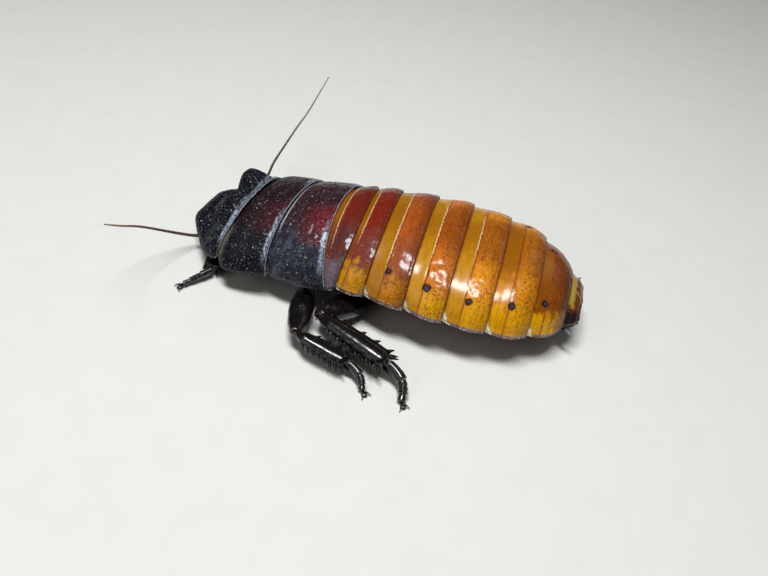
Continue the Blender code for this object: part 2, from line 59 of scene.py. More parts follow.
# The back behind the collar: place along Y, half width, height, margin height
BACK_RINGS = (
    (13.2, 10.4, 10.4, 4.7), (15.2, 11.0, 11.2, 4.6), (16.4, 12.3, 11.6, 4.5),
    (18.2, 12.4, 11.9, 4.6), (21.2, 12.1, 12.5, 4.9), (25.5, 12.2, 13.2, 5.2),
    (31.0, 12.2, 13.9, 5.8), (34.2, 12.3, 14.3, 6.3), (37.9, 12.8, 14.5, 6.8),
    (44.0, 13.7, 14.5, 7.1), (50.2, 14.1, 14.4, 7.1), (56.9, 13.5, 13.8, 6.7),
    (60.3, 12.6, 13.8, 6.3), (63.2, 11.1, 13.0, 5.9), (66.4, 8.9, 11.4, 5.4),
    (68.5, 6.5, 9.7, 5.2), (71.0, 4.2, 7.3, 5.3),
)
SIDE_INSET = 0.8  # a deeper arch is narrower by this part of its depth
SIDE_TUCK = 0.2  # part of the tuck that is left at the margins
# Hind edge of each plate: name, place at the middle, sweep towards the margins, turn
PLATE_EDGES = (
    ("pronotum", 14.9, 1.2, 0.15),
    ("mesonotum", 21.8, -0.8, 0.12),
    ("metanotum", 29.4, -2.2, 0.03),
    ("tergite_1", 33.9, 1.4, 0.0),
    ("tergite_2", 37.9, 0.6, 0.0),
    ("tergite_3", 44.0, 0.0, 0.0),
    ("tergite_4", 50.2, 0.0, 0.0),
    ("tergite_5", 56.9, 0.0, 0.0),
    ("tergite_6", 63.2, 0.0, 0.0),
    ("tergite_7", 68.5, 0.0, 0.0),
    ("supra_anal_plate", 71.0, 0.0, 0.0),
)
PLATE_TUCK = 1.0  # how far a plate reaches under the one before it
SHELL = 0.34  # thickness of a plate
EDGE_ROUND = 0.24  # width of its rounded edge
EDGE_PARTS = (0.3, 0.55, 0.75, 0.9, 1.0)  # where the rounded edge has rows
FINE_COLUMNS = 200
FINE_STEP = 0.13  # between the rows of a plate

# Collar along its middle: place, height
COLLAR_MIDDLE = (
    (5.0, 5.05), (5.5, 5.4), (6.5, 5.7), (7.8, 5.9), (9.2, 6.15), (10.4, 7.2), (11.8, 9.0),
    (13.2, 10.4), (14.9, 11.3),
)
# Outline of the collar: place, half width, margin height
COLLAR_OUTLINE = (
    (5.0, 2.8, 5.0), (5.12, 3.5, 5.0), (5.5, 4.4, 4.9), (6.3, 5.5, 4.7), (7.3, 6.65, 4.5),
    (8.35, 7.75, 4.3), (10.0, 9.45, 4.1), (11.4, 10.5, 4.15), (12.7, 11.0, 4.3), (13.6, 11.1, 4.5),
    (14.9, 11.1, 4.7),
)
COLLAR_CORNER = 13.0  # behind this place the hind edge sweeps
COLLAR_ROWS = 88
# Horns: place, rise over the collar
HORN_RISE = (
    (9.0, 0.0), (9.5, 0.3), (9.8, 1.6), (10.0, 3.2), (10.3, 4.4), (10.8, 4.6), (11.4, 4.1),
    (12.0, 3.4), (12.8, 2.4), (13.6, 1.4), (14.4, 0.6), (14.9, 0.2),
)
HORN_LEFT = 0.66  # part of the rise on the animal's left
HORN_RIGHT = 0.95
HORN_SIDE = 3.8
HORN_WIDTH = 2.1

# Belly: place, lowest height
BELLY = (
    (32.5, 4.8), (36.5, 4.7), (41.0, 3.6), (46.0, 2.4), (51.0, 1.9), (57.0, 2.1), (63.0, 2.7),
    (69.0, 3.3),
)
BELLY_WIDTH = 0.86  # part of the back's half width
BELLY_EDGE_DROP = 1.3  # from the margin of the back to that of the belly
BELLY_RIDGE = 0.3
BELLY_STEP = 0.2
BELLY_COLUMNS = 120
BELLY_EDGES = [place for _, place, _, _ in PLATE_EDGES[3:9]]
SUBGENITAL_END = 69.6

HEAD_TOP = (0.0, 7.9, 4.8)
HEAD_MOUTH = (0.0, 11.2, 1.7)
# Head: part of the way from its top to its mouth, half breadth, half depth
HEAD_PROFILE = (
    (0.0, 1.2, 0.5), (0.06, 2.3, 1.0), (0.2, 3.35, 1.4), (0.42, 3.4, 1.6), (0.65, 2.85, 1.5),
    (0.85, 2.1, 1.2), (1.0, 1.5, 0.8),
)
# Feelers: both ends of the first joint, then points of the whip
FEELER_LEFT = (
    (2.3, 6.2, 2.9), (3.6, 6.2, 2.4), (4.9, 5.6, 2.8), (7.2, 3.8, 4.4), (10.0, 2.4, 6.7),
    (14.0, 0.9, 10.0), (18.9, 0.6, 13.7), (24.4, 2.1, 18.5),
)
FEELER_RIGHT = (
    (-2.3, 6.2, 3.0), (-4.3, 6.3, 2.4), (-7.2, 8.0, 2.4), (-10.6, 9.9, 3.0), (-13.4, 11.4, 5.2),
    (-14.8, 12.1, 7.5), (-17.0, 13.5, 10.5), (-19.8, 14.7, 13.0), (-23.2, 15.8, 15.1),
    (-29.6, 17.2, 19.0),
)
PALP_ROUTE = ((2.6, 10.6, 1.6), (3.4, 9.6, 1.2), (3.6, 8.3, 1.0), (2.9, 7.2, 0.9))
CERCI = {
    "left": ((4.5, 68.3, 4.4), (6.9, 70.7, 4.6)),
    "right": ((-4.7, 68.4, 4.4), (-7.6, 71.1, 5.1)),
}

SIGNS = {"left": 1.0, "right": -1.0}
# Hips of the left side: base, end
HIPS = {
    "fore": ((6.0, 12.4, 4.2), (3.6, 17.5, 4.2)),
    "mid": ((8.2, 19.6, 4.1), (7.4, 26.4, 4.0)),
    "hind": ((7.6, 28.4, 3.9), (5.8, 38.2, 3.5)),
}
# Legs: knee, ankle, foot
LEGS = {
    "fore_left": ((5.6, 10.0, 2.3), (10.6, 11.2, 1.7), (14.6, 7.9, 0.66)),
    "mid_left": ((21.2, 29.4, 3.8), (22.9, 38.4, 2.6), (25.6, 41.6, 0.66)),
    "hind_left": ((16.7, 31.6, 4.2), (21.4, 44.2, 3.2), (25.7, 47.7, 0.66)),
    "fore_right": ((-5.8, 10.4, 2.3), (-10.6, 12.2, 1.7), (-15.2, 9.3, 0.66)),
    "mid_right": ((-17.2, 27.0, 3.2), (-19.5, 36.6, 2.2), (-22.5, 41.5, 0.66)),
    "hind_right": ((-15.8, 32.4, 3.7), (-18.2, 45.8, 2.6), (-21.5, 50.8, 0.66)),
}
LEG_SIZE = {"fore": 0.82, "mid": 0.95, "hind": 1.15}
KNUCKLE_DROP = 2.3  # from the end of a hip down to the start of the thigh
KNUCKLE_REACH = 0.6
FOOT_BOW = {"fore": 0.0, "mid": 0.9, "hind": 1.3}


# Numbers and noise


def metres(points):
    """Points in millimetres as places in the frame, which is in metres round its own middle."""
    return (np.asarray(points, float) - (MIDDLE_X, MIDDLE_Y, 0.0)) * MM


def follow(stations, places):
    """Values read at places from a smooth curve through stations that start with their place."""
    table = np.array(stations, float)
    keys, values = table[:, 0], table[:, 1:]
    places = np.clip(np.asarray(places, float), keys[0], keys[-1])
    index = np.clip(np.searchsorted(keys, places) - 1, 0, len(keys) - 2)
    before = np.maximum(np.arange(len(keys)) - 1, 0)
    after = np.minimum(np.arange(len(keys)) + 1, len(keys) - 1)
    slopes = (values[after] - values[before]) / (keys[after] - keys[before])[:, None]
    span = (keys[index + 1] - keys[index])[..., None]
    t = (places - keys[index])[..., None] / span
    rise = (2 * t**3 - 3 * t**2 + 1) * values[index] + (3 * t**2 - 2 * t**3) * values[index + 1]
    lean_in = (t**3 - 2 * t**2 + t) * span * slopes[index]
    return rise + lean_in + (t**3 - t**2) * span * slopes[index + 1]


def lumps(points, size, seed):
    """Smooth noise from -1 to 1 with lumps of about the given size, the same on every run."""
    scaled = np.asarray(points, float) / size + 1000.0
    cell = np.floor(scaled)
    part = scaled - cell
    smooth = part * part * (3.0 - 2.0 * part)
    total = np.zeros(scaled.shape[:-1])
    for corner in itertools.product((0, 1), repeat=3):
        at = cell.astype(np.int64) + np.array(corner)
        mixed = at[..., 0] * 73856093 ^ at[..., 1] * 19349663 ^ at[..., 2] * 83492791
        mixed = (mixed + seed * 2654435761) & 0xFFFFFFFF
        mixed = ((mixed ^ (mixed >> 15)) * 2246822519) & 0xFFFFFFFF
        mixed = ((mixed ^ (mixed >> 13)) * 3266489917) & 0xFFFFFFFF
        value = ((mixed ^ (mixed >> 16)) & 0xFFFF) / 32767.5 - 1.0
        weight = np.where(np.array(corner) == 1, smooth, 1.0 - smooth).prod(axis=-1)
        total += weight * value
    return total


def hump(value, middle, width):
    """1 where the value is at the middle, falling off to both sides like a bell."""
    return np.exp(-(((value - middle) / width) ** 2))


def smooth_step(value, low, high):
    """From 0, where the value is low, to 1, where it is high."""
    t = np.clip((value - low) / (high - low), 0.0, 1.0)
    return t * t * (3.0 - 2.0 * t)


def unit(vectors):
    """Vectors of length 1 with the same directions."""
    vectors = np.asarray(vectors, float)
    return vectors / np.maximum(np.linalg.norm(vectors, axis=-1, keepdims=True), 1e-9)


def end_parts(rows):
    """Parts of a length that lie closer together at both ends."""
    part = np.linspace(0.0, 1.0, rows)
    return part - 0.9 * np.sin(2 * math.pi * part) / (2 * math.pi)


# Meshes


def add_object(name, data):
    made = bpy.data.objects.new(name, data)
    bpy.context.scene.collection.objects.link(made)
    return made


class Shape:
    """Points, faces and surface coordinates of one piece, gathered in millimetres."""

    def __init__(self):
        self.points = []
        self.faces = []
        self.fields = []
        self.count = 0

    def add(self, points, faces, field):
        self.points.append(points.reshape(-1, 3))
        self.fields.append(field.reshape(-1, 3))
        self.faces.extend([tuple(corner + self.count for corner in face) for face in faces])
        self.count += len(self.points[-1])

    def grid(self, rings, field):
        """Rings of points joined by quads, with a flat face at each end."""
        rows, columns = rings.shape[:2]
        faces = []
        for i in range(rows - 1):
            for j in range(columns):
                k = (j + 1) % columns
                start, end = i * columns, (i + 1) * columns
                faces.append((start + j, start + k, end + k, end + j))
        faces.append(tuple(reversed(range(columns))))
        faces.append(tuple((rows - 1) * columns + j for j in range(columns)))
        self.add(rings, faces, field)

    def tube(self, rings, along, third=0.0):
        """Rings with surface coordinates: part of the way round, along for each ring, a third."""
        sides = rings.shape[1]
        field = np.zeros(rings.shape)
        field[..., 0] = np.arange(sides) / sides
        field[..., 1] = np.asarray(along)[:, None]
        field[..., 2] = third
        self.grid(rings, field)

    def piece(self, name, finish, slot, *nodes):
        """Make the mesh object, which rides on the root and stands for the nodes."""
        mesh = bpy.data.meshes.new(name)
        mesh.from_pydata(metres(np.concatenate(self.points)).tolist(), [], self.faces)
        attribute = mesh.attributes.new("spot", "FLOAT_VECTOR", "POINT")
        attribute.data.foreach_set("vector", np.concatenate(self.fields).astype(np.float32).ravel())
        mesh.materials.append(finish)
        mesh.shade_smooth()
        mesh.update()
        made = add_object(name, mesh)
        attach(made, "root")
        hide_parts(*nodes)


def grid_normals(grid):
    """Unit normals of a grid of points."""
    along = np.gradient(grid, axis=0)
    across = np.gradient(grid, axis=1)
    return unit(np.cross(across, along))


def row_distance(grid):
    """Distance of each point of a grid to the nearer end of its row."""
    steps = np.linalg.norm(np.diff(grid, axis=1), axis=-1)
    run = np.concatenate([np.zeros((grid.shape[0], 1)), np.cumsum(steps, axis=1)], axis=1)
    return np.minimum(run, run[:, -1:] - run)


# Materials


class Signal:
    """A number or colour that varies over a surface, as a node of a paint gives it."""

    def __init__(self, paint, socket):
        self.paint = paint
        self.socket = socket

    def __add__(self, other):
        return self.paint.math("ADD", self, other)

    __radd__ = __add__

    def __sub__(self, other):
        return self.paint.math("SUBTRACT", self, other)

    def __mul__(self, other):
        return self.paint.math("MULTIPLY", self, other)

    def __abs__(self):
        return self.paint.math("ABSOLUTE", self)

    def to_whole(self):
        """Distance to the nearest whole number."""
        return self.paint.math("PINGPONG", self, 0.5)

    def step(self, low, high, start=0.0, end=1.0):
        """A smooth change from start, where this is low, to end, where it is high."""
        if low > high:
            low, high, start, end = high, low, end, start
        inputs = {0: self, 1: low, 2: high, 3: start, 4: end}
        return self.paint.node("MapRange", inputs, interpolation_type="SMOOTHSTEP")[0]

    def band(self, middle, width):
        """1 where this is at the middle, falling to 0 at the width on both sides."""
        return abs(self - middle).step(width, 0.3 * width)


class Paint:
    """One material, with short calls for the nodes that it is made of.

    Colours are 0 to 255 values, as they look in plain light. A coat is a pair: the signal or
    number, from 0 to 1, that says where it lies, and its colour.
    """

    def __init__(self, name, roughness=0.3, coat=0.0, coat_roughness=0.1, specular=0.35):
        self.material = bpy.data.materials.new(name)
        self.material.use_nodes = True
        self.tree = self.material.node_tree
        self.shader = self.tree.nodes["Principled BSDF"]
        self.set("Roughness", roughness)
        self.set("Coat Weight", coat)
        self.set("Coat Roughness", coat_roughness)
        self.set("Specular IOR Level", specular)
        [self.place] = self.node("TexCoord", {}, ["Object"])
        [spot] = self.node("Attribute", {}, ["Vector"], attribute_name="spot")
        self.across, self.along, self.margin = self.node("SeparateXYZ", {0: spot}, range(3))

    def put(self, socket, value):
        """Link a signal to a socket, or give the socket a colour or number."""
        if isinstance(value, Signal):
            self.tree.links.new(value.socket, socket)
        elif socket.type == "RGBA":
            parts = [part / 255.0 for part in value]
            linear = [part / 12.92 if part <= 0.04045 else ((part + 0.055) / 1.055) ** 2.4 for part in parts]
            socket.default_value = (*linear, 1.0)
        else:
            socket.default_value = value

    def set(self, name, value):
        """Set an input of the shader."""
        self.put(self.shader.inputs[name], value)

    def node(self, kind, inputs, outputs=(0,), **settings):
        """Add a node with inputs by number or name, and return the signals of its outputs."""
        made = self.tree.nodes.new("ShaderNode" + kind)
        for key, value in settings.items():
            setattr(made, key, value)
        for key, value in inputs.items():
            self.put(made.inputs[key], value)
        return [Signal(self, made.outputs[key]) for key in outputs]

    def math(self, operation, first, second=0.0):
        return self.node("Math", {0: first, 1: second}, operation=operation)[0]

    def stretched(self, stretch):
        """Places on the object, multiplied along each direction."""
        if stretch is None:
            return self.place
        return self.node("VectorMath", {0: self.place, 1: stretch}, operation="MULTIPLY")[0]

    def noise(self, size, detail=3.0, roughness=0.55, stretch=None):
        """Noise with lumps of a size in millimetres."""
        inputs = {"Vector": self.stretched(stretch), "Scale": 1.0 / (size * MM)}
        inputs.update({"Detail": detail, "Roughness": roughness})
        return self.node("TexNoise", inputs)[0]

    def cells(self, size, stretch=None):
        """Distance to the middle of each cell, and a chance number for the cell."""
        inputs = {"Vector": self.stretched(stretch), "Scale": 1.0 / (size * MM)}
        distance, tint = self.node("TexVoronoi", inputs, ["Distance", "Color"])
        return distance, self.node("SeparateColor", {0: tint})[0]

    def specks(self, size, strength, share, radius):
        """Small grains: the strength on the grains of a share of the cells, 0 elsewhere."""
        distance, chance = self.cells(size)
        ragged = distance + (self.noise(0.3 * size, 2.0) - 0.5) * (1.4 * radius)
        return ragged.step(radius, radius * 0.4) * chance.step(1.0 - share, 1.0) * strength

    def away(self, point, reach):
        """Distance from a point in millimetres, in parts of the reach along each direction."""
        [shift] = self.node("VectorMath", {0: self.place, 1: tuple(metres(point))}, operation="SUBTRACT")
        scale = [1.0 / (part * MM) for part in reach]
        [scaled] = self.node("VectorMath", {0: shift, 1: scale}, operation="MULTIPLY")
        return self.node("VectorMath", {0: scaled}, ["Value"], operation="LENGTH")[0]

    def layers(self, colour, *coats):
        """A colour under coats of others."""
        for part, coat in coats:
            [colour] = self.node("Mix", {0: part, 6: colour, 7: coat}, [2], data_type="RGBA")
        return colour

    def colour(self, base, *coats):
        self.set("Base Color", self.layers(base, *coats))

    def bump(self, height, depth, strength):
        """Relief of a depth in millimetres, over any that was added before."""
        inputs = {"Height": height, "Distance": depth * MM, "Strength": strength}
        below = self.shader.inputs["Normal"].links
        if below:
            inputs["Normal"] = Signal(self, below[0].from_socket)
        self.set("Normal", self.node("Bump", inputs)[0])


# Colours that several materials share
AMBER = (186, 128, 16)
AMBER_DEEP = (140, 82, 6)
GOLD = (214, 152, 4)
CREAM = (234, 206, 158)
PALE = (238, 230, 200)
RUST = (122, 48, 8)
BROWN = (56, 22, 8)
BLACK = (13, 12, 16)
SPOT = (20, 12, 20)
PURPLE = (70, 50, 68)
HIGHLIGHT_BLUE = (178, 190, 206)
OLIVE = (122, 115, 98)


# Plates in general


def arch(places, angles, inset):
    """Points of the back, or of an arch that lies deeper by an inset."""
    half, height, margin = np.moveaxis(follow(BACK_RINGS, places), -1, 0)
    x = np.maximum(half - inset * SIDE_INSET, 0.4 * half) * np.cos(angles)
    z = margin + (height - margin - inset) * np.sin(angles)
    return np.stack([x, places, z], axis=-1)


def margin_angles(columns):
    """Angles across the back, closer together near the side margins."""
    part = np.linspace(0.0, 1.0, columns + 1)
    return math.pi * (part - 0.5 * np.sin(2 * math.pi * part) / (2 * math.pi))


def edge_rows(hind):
    """Rows of the rounded edge, which ends at the hind place."""
    return hind - EDGE_ROUND * (1.0 - np.array(EDGE_PARTS))


def row_offsets(length, step):
    """Rows of a plate, in millimetres behind its front edge, closer together at the hind edge."""
    hidden = (-PLATE_TUCK, -0.75 * PLATE_TUCK, -0.4 * PLATE_TUCK)
    body = np.linspace(0.0, length - EDGE_ROUND, max(int(length / step), 8))
    return np.concatenate([hidden, body, edge_rows(length)])


def row_drops(offsets, length, ridge):
    """How far each row lies under the outline: deep where tucked in, less behind the ridge."""
    stations = (
        (-1.3, 0.66),
        (-0.5, 0.56),
        (0.0, 0.50),
        (0.5 * ridge, 0.40),
        (ridge - 0.2, 0.22),
        (ridge, 0.15),
        (ridge + 0.25, 0.14),
        (0.66 * length, -0.10),
        (length - 0.5, -0.10),
        (length - 0.18, -0.05),
        (length, 0.0),
    )
    return follow(stations, offsets)[:, 0]


def rounding(distance):
    """From 0 at a plate's edge to 1 where its rounded edge ends."""
    part = np.clip(distance / EDGE_ROUND, 0.0, 1.0)
    return np.sqrt(1.0 - (1.0 - part) ** 2)


def raised(grid, normals, relief, edge):
    """Outer points of a plate with its relief, lower where its edge is rounded."""
    return grid + normals * (relief - 0.5 * SHELL * (1.0 - edge))[..., None]


def plate_shape(outer, normals, edge, field):
    """Closed plate under an outer grid. Its thickness falls to nothing at all four edges."""
    inner = outer - normals * (SHELL * edge)[..., None]
    rows, columns = outer.shape[:2]
    index = np.arange(rows * columns).reshape(rows, columns)
    below = index + rows * columns
    below[0], below[-1] = index[0], index[-1]
    below[:, 0], below[:, -1] = index[:, 0], index[:, -1]
    sheets = []
    for grid, order in ((index, 1), (below, -1)):
        corners = (grid[:-1, :-1], grid[:-1, 1:], grid[1:, 1:], grid[1:, :-1])
        sheets.append(np.stack(corners[::order], axis=-1).reshape(-1, 4))
    quads = np.concatenate(sheets)
    used = np.unique(quads)
    renumber = np.zeros(2 * rows * columns, int)
    renumber[used] = np.arange(len(used))
    points = np.concatenate([outer, inner]).reshape(-1, 3)[used]
    fields = np.concatenate([field, field]).reshape(-1, 3)[used]
    shape = Shape()
    shape.add(points, renumber[quads].tolist(), fields)
    return shape


def add_plate(name, grid, normals, angles, run, length, relief, finish, slot):
    """Make a plate that is tucked in at its front, from its middle surface and its relief."""
    margin = row_distance(grid)
    edge = rounding(np.minimum(np.minimum(margin, length - run), run + PLATE_TUCK))
    field = np.stack([np.cos(angles), run / length, margin], axis=-1)
    shape = plate_shape(raised(grid, normals, relief, edge), normals, edge, field)
    shape.piece(name + "_shell", finish, slot, name)


# Back plates


def back_grid(before, plate, offsets, drops, angles):
    """Rows of points of a back plate. Offsets and drops are one number for each row."""
    _, front, *front_lean = before
    _, hind, *hind_lean = plate
    offsets = offsets[:, None] + 0.0 * angles
    angles = angles + 0.0 * offsets
    lowness = 1.0 - np.sin(angles)
    reach = np.maximum(-offsets, 0.0) * (1.0 - SIDE_TUCK) * lowness
    grid = arch(front + offsets + reach, angles, drops[:, None])
    part = np.clip(offsets / (hind - front), 0.0, 1.0)
    shifts = [-sweep * lowness - turn * grid[..., 0] for sweep, turn in (front_lean, hind_lean)]
    grid[..., 1] += shifts[0] + (shifts[1] - shifts[0]) * part
    bulge = 0.32 * np.sin(math.pi * part) - 0.25 * (1.0 - smooth_step(part, 0.0, 0.2))
    grid[..., 0] += np.cos(angles) * lowness**2 * bulge
    return grid, offsets, angles


def make_plate(before, plate, finish, slot, ridge_part, roughness):
    """A back plate: smooth front band, fine cross ridge and a rougher part behind it."""
    length = plate[1] - before[1]
    ridge = ridge_part * length
    offsets = row_offsets(length, FINE_STEP)
    drops = row_drops(offsets, length, ridge)
    grid, run, angles = back_grid(before, plate, offsets, drops, margin_angles(FINE_COLUMNS))
    margin = row_distance(grid)
    # Grain behind the ridge, fine lines, then the ridge, the hind rim and the rims at the sides
    rough = smooth_step(run, ridge, ridge + 0.3)
    relief = rough * roughness * (0.055 * lumps(grid, 1.4, 1) + 0.04 * lumps(grid, 0.6, 2))
    relief += 0.02 * lumps(grid * (0.35, 1.0, 0.35), 0.8, 3)
    relief += 0.07 * hump(run, ridge + 0.05 * lumps(grid, 1.0, 4), 0.10)
    relief += 0.05 * hump(run, length - 0.35, 0.16)
    relief += 0.10 * hump(margin, 0.30, 0.18) - 0.06 * hump(margin, 0.80, 0.25)
    relief *= smooth_step(run, -0.1, 0.2)
    add_plate(plate[0], grid, grid_normals(grid), angles, run, length, relief, finish, slot)


def tergite_paint(
    name, spots, band, upper, middle, side, ridge, flecks, dusk, cream=0.0, fade=False, grains=0.0
):
    """Banded shell: amber band, thin ridge line, speckled part, reddish hind edge and ragged rim."""
    paint = Paint(name + "_shell", coat=0.5, coat_roughness=0.17, specular=0.09)
    wander = paint.noise(0.9) - 0.5
    along = paint.along + wander * 0.05
    fine = paint.noise(0.20, 4.0, 0.65)
    blotch = paint.noise(1.3, 4.0, 0.6)
    streak = paint.noise(0.8, 3.0, 0.6, (0.22, 1.5, 0.22))
    sideways = abs(paint.across) + (blotch - 0.5) * 0.45
    lateral = sideways.step(0.78, 0.92)

    front = [
        (paint.noise(0.8, 4.0, 0.6, (0.5, 1.6, 0.5)).step(0.50, 0.68) * 0.45, AMBER_DEEP),
        (streak.step(0.5, 0.75) * 0.35, RUST),
        (sideways.step(0.60, 0.0, 0.0, 0.78), AMBER_DEEP),
        # Darker just behind the front edge, under the hind edge of the plate before: painted shadow.
        (along.step(0.07, 0.0, 0.0, 0.6), RUST),
    ]
    if fade:
        front += [
            (sideways.step(0.35, 0.62, 0.0, 0.85), middle),
            (lateral, side),
            (streak.step(0.42, 0.66) * 0.45, AMBER_DEEP),
        ]

    mottle = paint.noise(0.42, 5.0, 0.7).step(0.52, 0.62) * along.step(ridge + 0.05, 0.80) * (0.6 * flecks)
    distance, chance = paint.cells(0.34, (0.8, 1.0, 0.8))
    crowd = paint.noise(1.8, 3.0) + along.band(0.74, 0.30) * 0.16
    fleck = distance.step(0.50, 0.22) * chance.step(0.35, 0.55)
    fleck = fleck * crowd.step(0.62 - 0.22 * flecks, 0.74 - 0.22 * flecks)
    fleck = fleck * sideways.step(0.80, 0.95, 0.75, 0.3)
    behind = [
        (sideways.step(0.25, 0.60), middle),
        (lateral, side),
        (streak.step(0.48, 0.66) * 0.4, RUST),
        (along.step(0.60, 0.97) * dusk, BROWN),
        (along.step(ridge + 0.15, ridge) * blotch.step(0.42, 0.6) * 0.4, (176, 66, 12)),
        (mottle, (110, 40, 10)),
        (fleck, (80, 34, 10)),
        (fine.step(0.56, 0.74) * 0.25, (226, 150, 50)),
    ]

    coats = [
        (along.step(ridge - 0.012, ridge + 0.012), paint.layers(upper, *behind)),
        (along.band(ridge + 0.012, 0.03) * 0.6, (112, 42, 10)),
    ]
    if cream:
        pale = along.band(ridge - 0.008, 0.019) * sideways.step(cream + 0.15, cream - 0.10)
        coats.append((pale * paint.noise(0.3, 4.0, 0.7).step(0.34, 0.58) * 0.8, CREAM))
    coats.append((along.band(ridge, 0.035) * paint.specks(0.45, 0.8, 0.5, 0.3), (224, 160, 110)))
    coats.append((paint.along.step(0.94, 0.985, 0.0, 0.7), (92, 34, 12)))
    for point, reach in spots:
        distance = paint.away(point, reach) + (paint.noise(0.5, 4.0) - 0.5) * 1.1
        centre = distance.step(0.65, 0.30) * fine.step(0.35, 0.6) * 0.6
        coats += [(distance.step(1.20, 0.90, 0.0, 0.94), SPOT), (centre, (104, 92, 100))]
    rim = (paint.margin + wander * 0.5).step(0.75, 0.40) * 0.7
    glint = paint.margin.step(1.0, 0.45) * paint.noise(0.24, 3.0).step(0.50, 0.60)
    glint = glint * along.step(ridge, ridge + 0.1, 0.3, 0.85)
    corner = (paint.margin + along * 9.0 + wander * 1.2).step(2.2, 1.7)
    coats += [(rim, PURPLE), (glint, (222, 212, 224)), (corner, PALE)]
    if grains:
        coats.append((paint.specks(0.42, 0.6 * grains, 0.4, 0.22), (206, 176, 170)))
        coats.append((paint.specks(0.85, grains, 0.3, 0.14), (226, 206, 200)))
    paint.colour(paint.layers(band, *front), *coats)

    in_zone = along.step(ridge, ridge + 0.03)
    paint.set("Roughness", 0.30 + in_zone * 0.06 + fine * 0.16)
    pits = in_zone * paint.cells(0.5)[0].step(0.15, 0.55)
    paint.bump(pits + fine * in_zone, 0.07, 0.9)
    paint.bump(paint.noise(0.7, 4.0, 0.5, (0.6, 1.4, 0.6)), 0.035, 0.6)
    return paint.material


def dark_paint(
    name, middle, outside, reach, sheen, grains, relief, gloss, shine,
    corner=0.0, front_highlight=0.0, lit_flank_red=0.0, painted_glints=0.0,
):
    """Black shell, redder along the middle of the back, with whitish grains and a pale bluish band along the
    hind rim that is a painted highlight.
    """
    paint = Paint(name + "_shell", coat=2.0 * shine, coat_roughness=0.18, specular=shine)
    across = abs(paint.across)
    fine = paint.noise(0.20, 4.0, 0.7)
    spread = across + (paint.noise(2.4, 3.0) - 0.5) * 0.5
    coats = [
        (spread.step(reach - 0.15, reach + 0.2), outside),
        (paint.noise(0.7, 4.0).step(0.4, 0.7) * 0.6, BLACK),
    ]
    # Brighter red on the hind flank, on the left side only: partly the plate's own maroon, partly painted
    # light on the side that the light falls on.
    if lit_flank_red:
        glow = paint.along.step(0.25, 0.85) * spread.band(0.40, 0.42)
        coats.append((glow * paint.across.step(-0.10, 0.35) * lit_flank_red, (128, 20, 28)))
    # Bluish glints on the flanks: painted highlights.
    if painted_glints:
        glint = paint.noise(1.1, 4.0, 0.6, (0.6, 1.3, 0.6)).step(0.50, 0.66)
        coats.append((glint * across.step(0.45, 0.75) * painted_glints, (84, 92, 112)))
    if corner:
        front = (paint.along + paint.noise(0.5, 4.0, 0.7) * 0.16).step(0.25, 0.13)
        front = front * across.step(0.62, 0.82) * corner
        coats.append((front * fine.step(0.30, 0.62, 0.35, 1.0), OLIVE))
    # A thin pale line along the front of the plate: painted highlight.
    if front_highlight:
        thin = paint.along.band(0.075, 0.03) * across.step(0.66, 0.50)
        coats.append((thin * front_highlight, (200, 206, 214)))
    low, high = sheen
    # A ragged band just in front of the hind edge, stronger towards the sides: painted highlight.
    patchy = paint.along + (paint.noise(0.5, 4.0, 0.7) - 0.5) * 0.10
    behind = patchy.step(0.875, 0.935) * paint.along.step(0.98, 0.955)
    behind = behind * across.step(low - 0.15, low + 0.15) * across.step(high + 0.02, high - 0.10)
    behind = behind * across.step(0.0, 0.55, 0.45, 1.0)
    behind = behind * paint.noise(0.32, 5.0, 0.75, (0.5, 1.5, 0.5)).step(0.40, 0.60) * 0.85
    crowd = paint.noise(1.6, 3.0).step(0.35, 0.62, 0.25, 1.0)
    coats += [
        (paint.margin.step(0.7, 0.25) * fine.step(0.4, 0.6) * 0.5, (104, 96, 108)),
        # The bluish band and the thin pale line at the very hind edge are painted highlights.
        (behind, HIGHLIGHT_BLUE),
        (paint.along.step(0.975, 0.99) * fine.step(0.35, 0.55) * 0.6, (196, 200, 208)),
        (paint.specks(0.30, grains, 1.0, 0.40) * crowd, (146, 152, 168)),
        (paint.specks(0.50, 1.3 * grains, 0.8, 0.27) * crowd, (186, 194, 210)),
        (paint.specks(1.1, 1.0, 0.6, 0.12), (226, 230, 238)),
    ]
    paint.colour(middle, *coats)
    paint.set("Roughness", gloss - 0.08 + fine * 0.2 + behind * -0.2)
    grain = paint.cells(0.32)[0].step(0.0, 0.6, 1.0, 0.0)
    paint.bump(grain + fine, relief, 1.0)
    paint.bump(paint.noise(0.8, 5.0, 0.65), 0.14, 0.6)
    return paint.material


def last_plate_paint():
    """The last back plate: a ragged pale yellow patch in front, rust brown behind, dark edge."""
    paint = Paint("supra_anal_plate_shell", coat=0.5, coat_roughness=0.13, specular=0.2)
    across = abs(paint.across - 0.05)
    ragged = (paint.noise(0.6, 4.0, 0.6) - 0.5) * 0.55
    fine = paint.noise(0.18, 4.0, 0.65)
    yellow = (paint.along + ragged).step(0.46, 0.34) * (across + ragged).step(0.66, 0.54)
    slant = paint.across + paint.along * -0.55
    paint.colour(
        (110, 52, 10),
        (paint.noise(0.5, 4.0).step(0.4, 0.65), (66, 26, 12)),
        (yellow, (158, 128, 40)),
        (yellow * paint.noise(0.5, 4.0, 0.7).step(0.48, 0.62) * 0.6, (136, 84, 22)),
        (yellow * fine.step(0.5, 0.65) * 0.6, (200, 182, 110)),
        (paint.along.step(0.80, 0.94, 0.0, 0.85), (30, 12, 12)),
        ((across + ragged * 0.3).step(0.68, 0.80, 0.0, 0.9), SPOT),
        (slant.band(-0.10, 0.03) * paint.along.step(0.35, 0.45) * 0.7, (214, 170, 110)),
        (paint.specks(0.4, 0.7, 0.3, 0.2), (220, 180, 120)),
    )
    paint.set("Roughness", 0.26 + fine * 0.2)
    paint.bump(fine, 0.06, 0.9)
    paint.bump(paint.noise(0.5, 4.0), 0.06, 0.6)
    return paint.material
